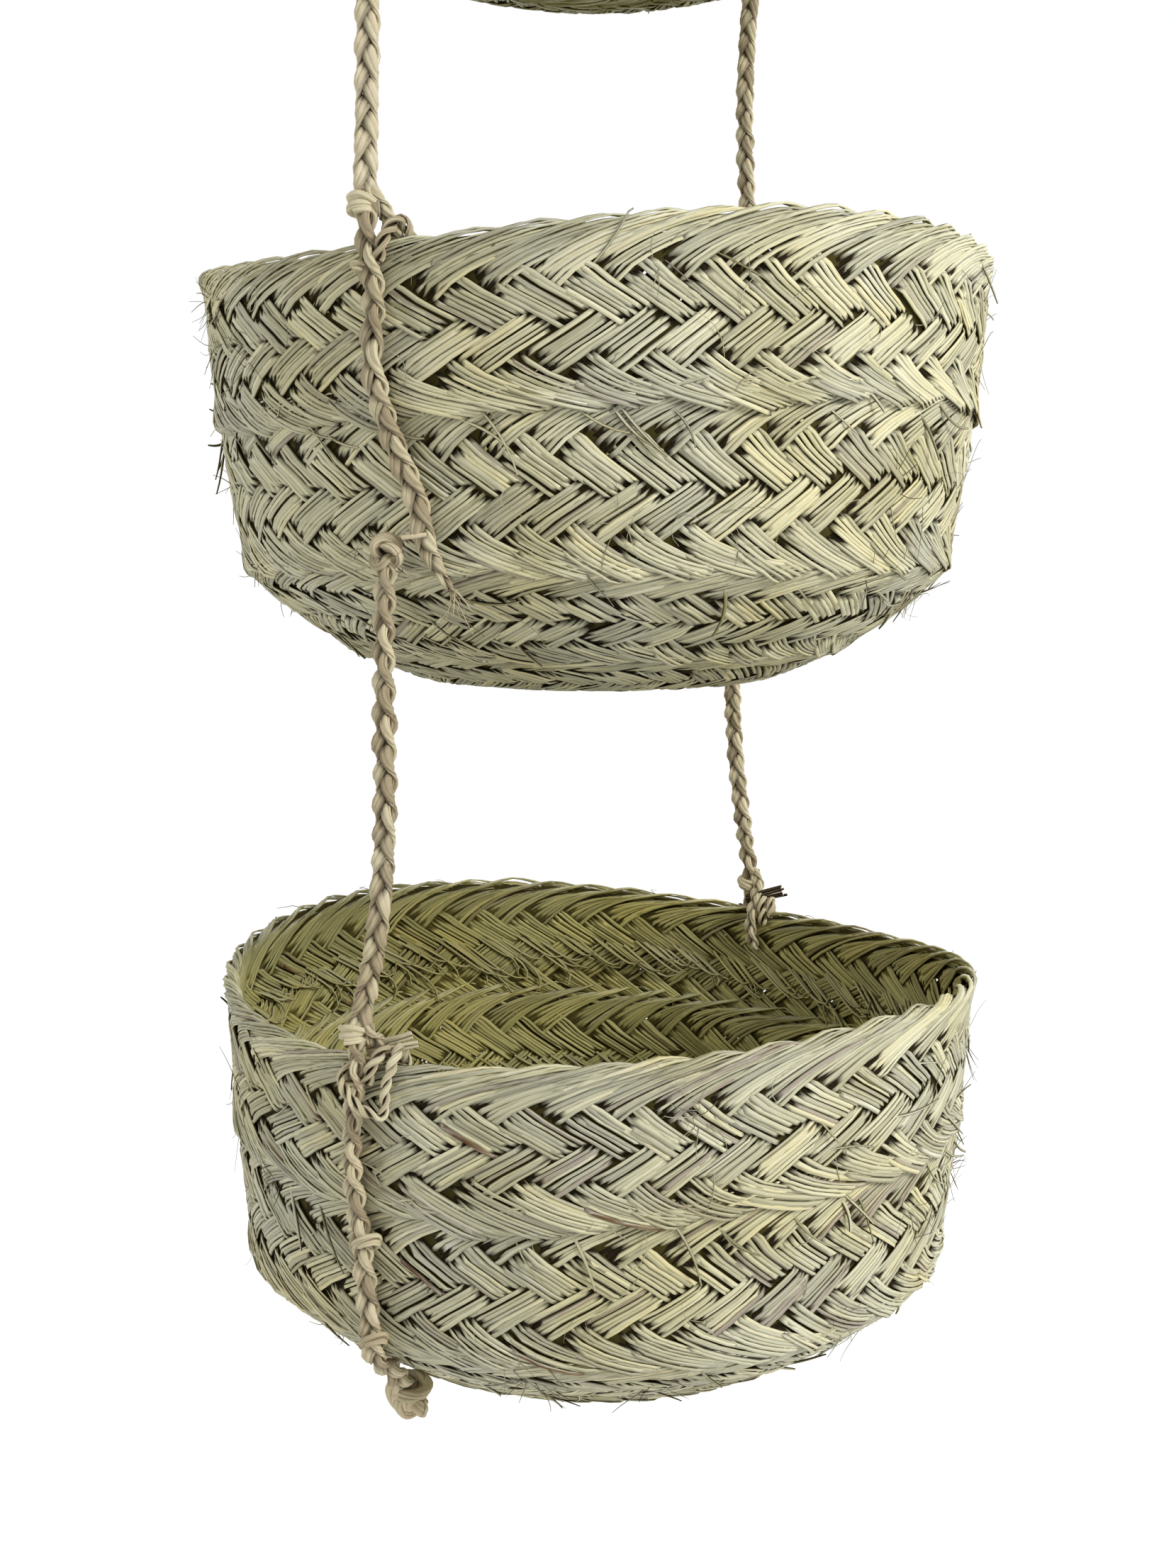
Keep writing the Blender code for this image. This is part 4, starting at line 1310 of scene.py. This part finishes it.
# Small turns of leaf that bind the lowest rope to its wall, at these shares of the way down.
stitch = {"shares": (0.62, 0.97), "aside": 0.0006, "axis": (0.1, 0, 1)}
stitchTurns = {"turns": 1.8, "reach": 0.0040, "strand": 0.0015, "pitch": 0.0024, "lean": 0.9}


def makeStitches(tier, sideName):
    made = []
    for share in stitch["shares"]:
        place = wallPlace(tier, sideName, share, stitch["aside"], ropeForm["wallStandoff"])
        name = f"{tier['name']}_stitch_{sideName}_{share}"
        made.append(makeWrap(name, place, stitch["axis"], outFrom(sideName), **stitchTurns))
    return made


for tierName, tier in tiers.items():
    body = f"{tierName}_basket"
    for sideName in sides:
        rope = [makeWallRope(tier, sideName)]
        if tierName == "lower":
            rope += makeStitches(tier, sideName)
        else:
            fraysName, tip = f"{tierName}_wall_rope_{sideName}_frays", tailPlace(tier, sideName, 0.0024)
            rope.append(makeFrays(fraysName, tip, (0.55, 0, -0.85), count=14, length=0.013, spread=0.28))
        obj = joinPieces(rope, f"{tierName}_rope_{sideName}_onWall")
        dress(obj, body, "palm_rope", f"{tierName}_wall_rope_{sideName}")
        dress(makeRimKnot(tier, sideName), body, "palm_rope", f"{tierName}_rim_knot_{sideName}")
        if tierName == "lower":
            dress(makeEndKnot(tier, sideName), body, "palm_rope", f"lower_end_knot_{sideName}")
        else:
            dress(makeSeamKnot(tier, sideName), body, "palm_rope", f"{tierName}_seam_knot_{sideName}")
print("wall ropes and knots made")

for upName, tierName in (("top", "middle"), ("middle", "lower")):
    for sideName in sides:
        start = Vector(knotPlace(f"{upName}_seam_knot_{sideName}"))
        stop = Vector(knotPlace(f"{tierName}_rim_knot_{sideName}"))
        shares = np.linspace(0.012, 0.988, 9)
        bow, skew = bows[tierName, sideName]
        places = [start.lerp(stop, s) + Vector((bow * math.sin(math.pi * s ** skew), 0, 0)) for s in shares]
        obj = makeBraid(f"{tierName}_rope_{sideName}_free", smoothRoute(places))
        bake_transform(obj)
        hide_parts(f"{tierName}_rope_upper_{sideName}", f"{tierName}_rope_lower_{sideName}")
print("free ropes braided")

# The hanging loop, its binding, the neck, the crown knot and the crown ropes

crown = {
    "legs": 0.00465,
    "foot": -0.0680,
    "loopBottom": -0.0460,
    "legPlaces": (-0.057, -0.0460, -0.0415),
    "arc": (190, -25, 9),  # degrees of the first place, the step, and how many
    "arcRadius": 0.0185,
    "arcCentre": -0.0140,
    "bindingTurns": 8,
    "bindingCord": 0.00142,
    "bindingInset": 0.0016,
    "bindingReach": 0.0048,
    "bindingDepth": 0.0095,
    "neck": (-0.0690, -0.0823),
    "knot": -0.0936,
    "ropeStart": 0.007,  # from the crown knot's centre
}


def makeLoop():
    legs = [(-crown["legs"], z) for z in (crown["foot"], *crown["legPlaces"])]
    first, step, count = crown["arc"]
    turns = [math.radians(first + step * i) for i in range(count)]
    arc = [(crown["arcRadius"] * math.cos(t), crown["arcCentre"] + crown["arcRadius"] * math.sin(t)) for t in turns]
    line = legs + arc + [(-x, z) for x, z in legs[::-1]]
    return makeBraid("hanging_loop_braid", smoothRoute([(x, 0, z) for x, z in line]), (0, 1, 0))


def makeBinding():
    cord, count = crown["bindingCord"], crown["bindingTurns"] * 20
    t = np.linspace(0, 2 * math.pi * crown["bindingTurns"], count)
    reach = crown["bindingReach"] + cord * 0.85
    top, bottom = crown["loopBottom"] - crown["bindingInset"], crown["foot"] + crown["bindingInset"]
    x = reach * np.cos(t) + crown["legs"] * np.tanh(3 * np.cos(t))
    path = np.stack([x, reach * np.sin(t), np.linspace(top, bottom, count)], 1)[None]
    path = path + wander(count, 0.00015, 6)[None, :, None] * np.array([0, 0, 1.0])
    widths = variedWidth(cord, count, 0.06)
    centres, depth, tilts = path * np.array([0.0, 0, 1]), crown["bindingDepth"], [np.linspace(0, 30, count)]
    return leafStrands("loop_binding_cord", path, [widths], np.array([0.35]), centres, depth, tilts, 0.0)


dress(makeLoop(), "hanging_loop", "palm_rope", "hanging_loop")
dress(makeBinding(), "hanging_loop", "palm_rope", "loop_binding")
high, low = crown["neck"]
neckRoute = smoothRoute([(0, 0, high), (0, 0, (high + low) / 2), (0, 0, low)], 0.0011)
dress(makeBraid("crown_neck_braid", neckRoute, scale=1.35), "crown_neck", "palm_rope", "crown_neck")
knotCentre = (0, 0, crown["knot"])
obj = joinPieces([
    makeKnot("crownKnotA", knotCentre, (0, -1, 0), (0, 0, 1), scale=1.3, squash=0.9),
    makeKnot("crownKnotB", knotCentre, (1, 0, 0), (0, 0, 1), scale=1.05, squash=0.9),
], "crown_knot_tied")
dress(obj, "crown_knot", "palm_rope", "crown_knot")
for sideName in sides:
    stop, start = centreOf(f"top_rim_knot_{sideName}"), Vector(knotCentre)
    start = start + (stop - start).normalized() * crown["ropeStart"]
    places = [start.lerp(stop, share) for share in np.linspace(0, 0.99, 7)]
    obj = makeBraid(f"crown_rope_{sideName}_braid", smoothRoute(places))
    dress(obj, "crown_ropes", "palm_rope", f"crown_rope_{sideName}")
bpy.data.objects.remove(leafProfile)
print("crown, binding and loop made")

# The sewing cord in the seams

sewing = {"radius": 0.0008, "stitches": 52, "points": 8, "wave": 0.0011, "lift": 0.0009, "upperShare": 0.52}
for tierName, tier in tiers.items():
    wallShares = np.linspace(0, 1, len(tier["wallArcs"]))
    upperArc = float(np.interp(sewing["upperShare"], wallShares, tier["wallArcs"]))
    for seam, arc in (("upper", upperArc), ("lower", tier["seamArc"])):
        phi = np.linspace(0, 2 * math.pi, sewing["stitches"] * sewing["points"])
        swing = sewing["stitches"] * phi
        arcs = arc + sewing["wave"] * np.cos(swing)
        path = onBowl(tier, arcs, phi, sewing["lift"] * np.sin(swing))[None]
        out = outwardOnBowl(tier, np.full_like(phi, arc), phi)[None]
        widths = np.full((1, len(phi)), sewing["radius"])
        obj = strandMesh(f"{tierName}_sewing_{seam}_cord", path, widths, np.array([0.5]), out, thread, sides=1)
        dress(obj, f"{tierName}_basket", "sewing_cord", f"{tierName}_sewing_{seam}")
print("seams sewn")
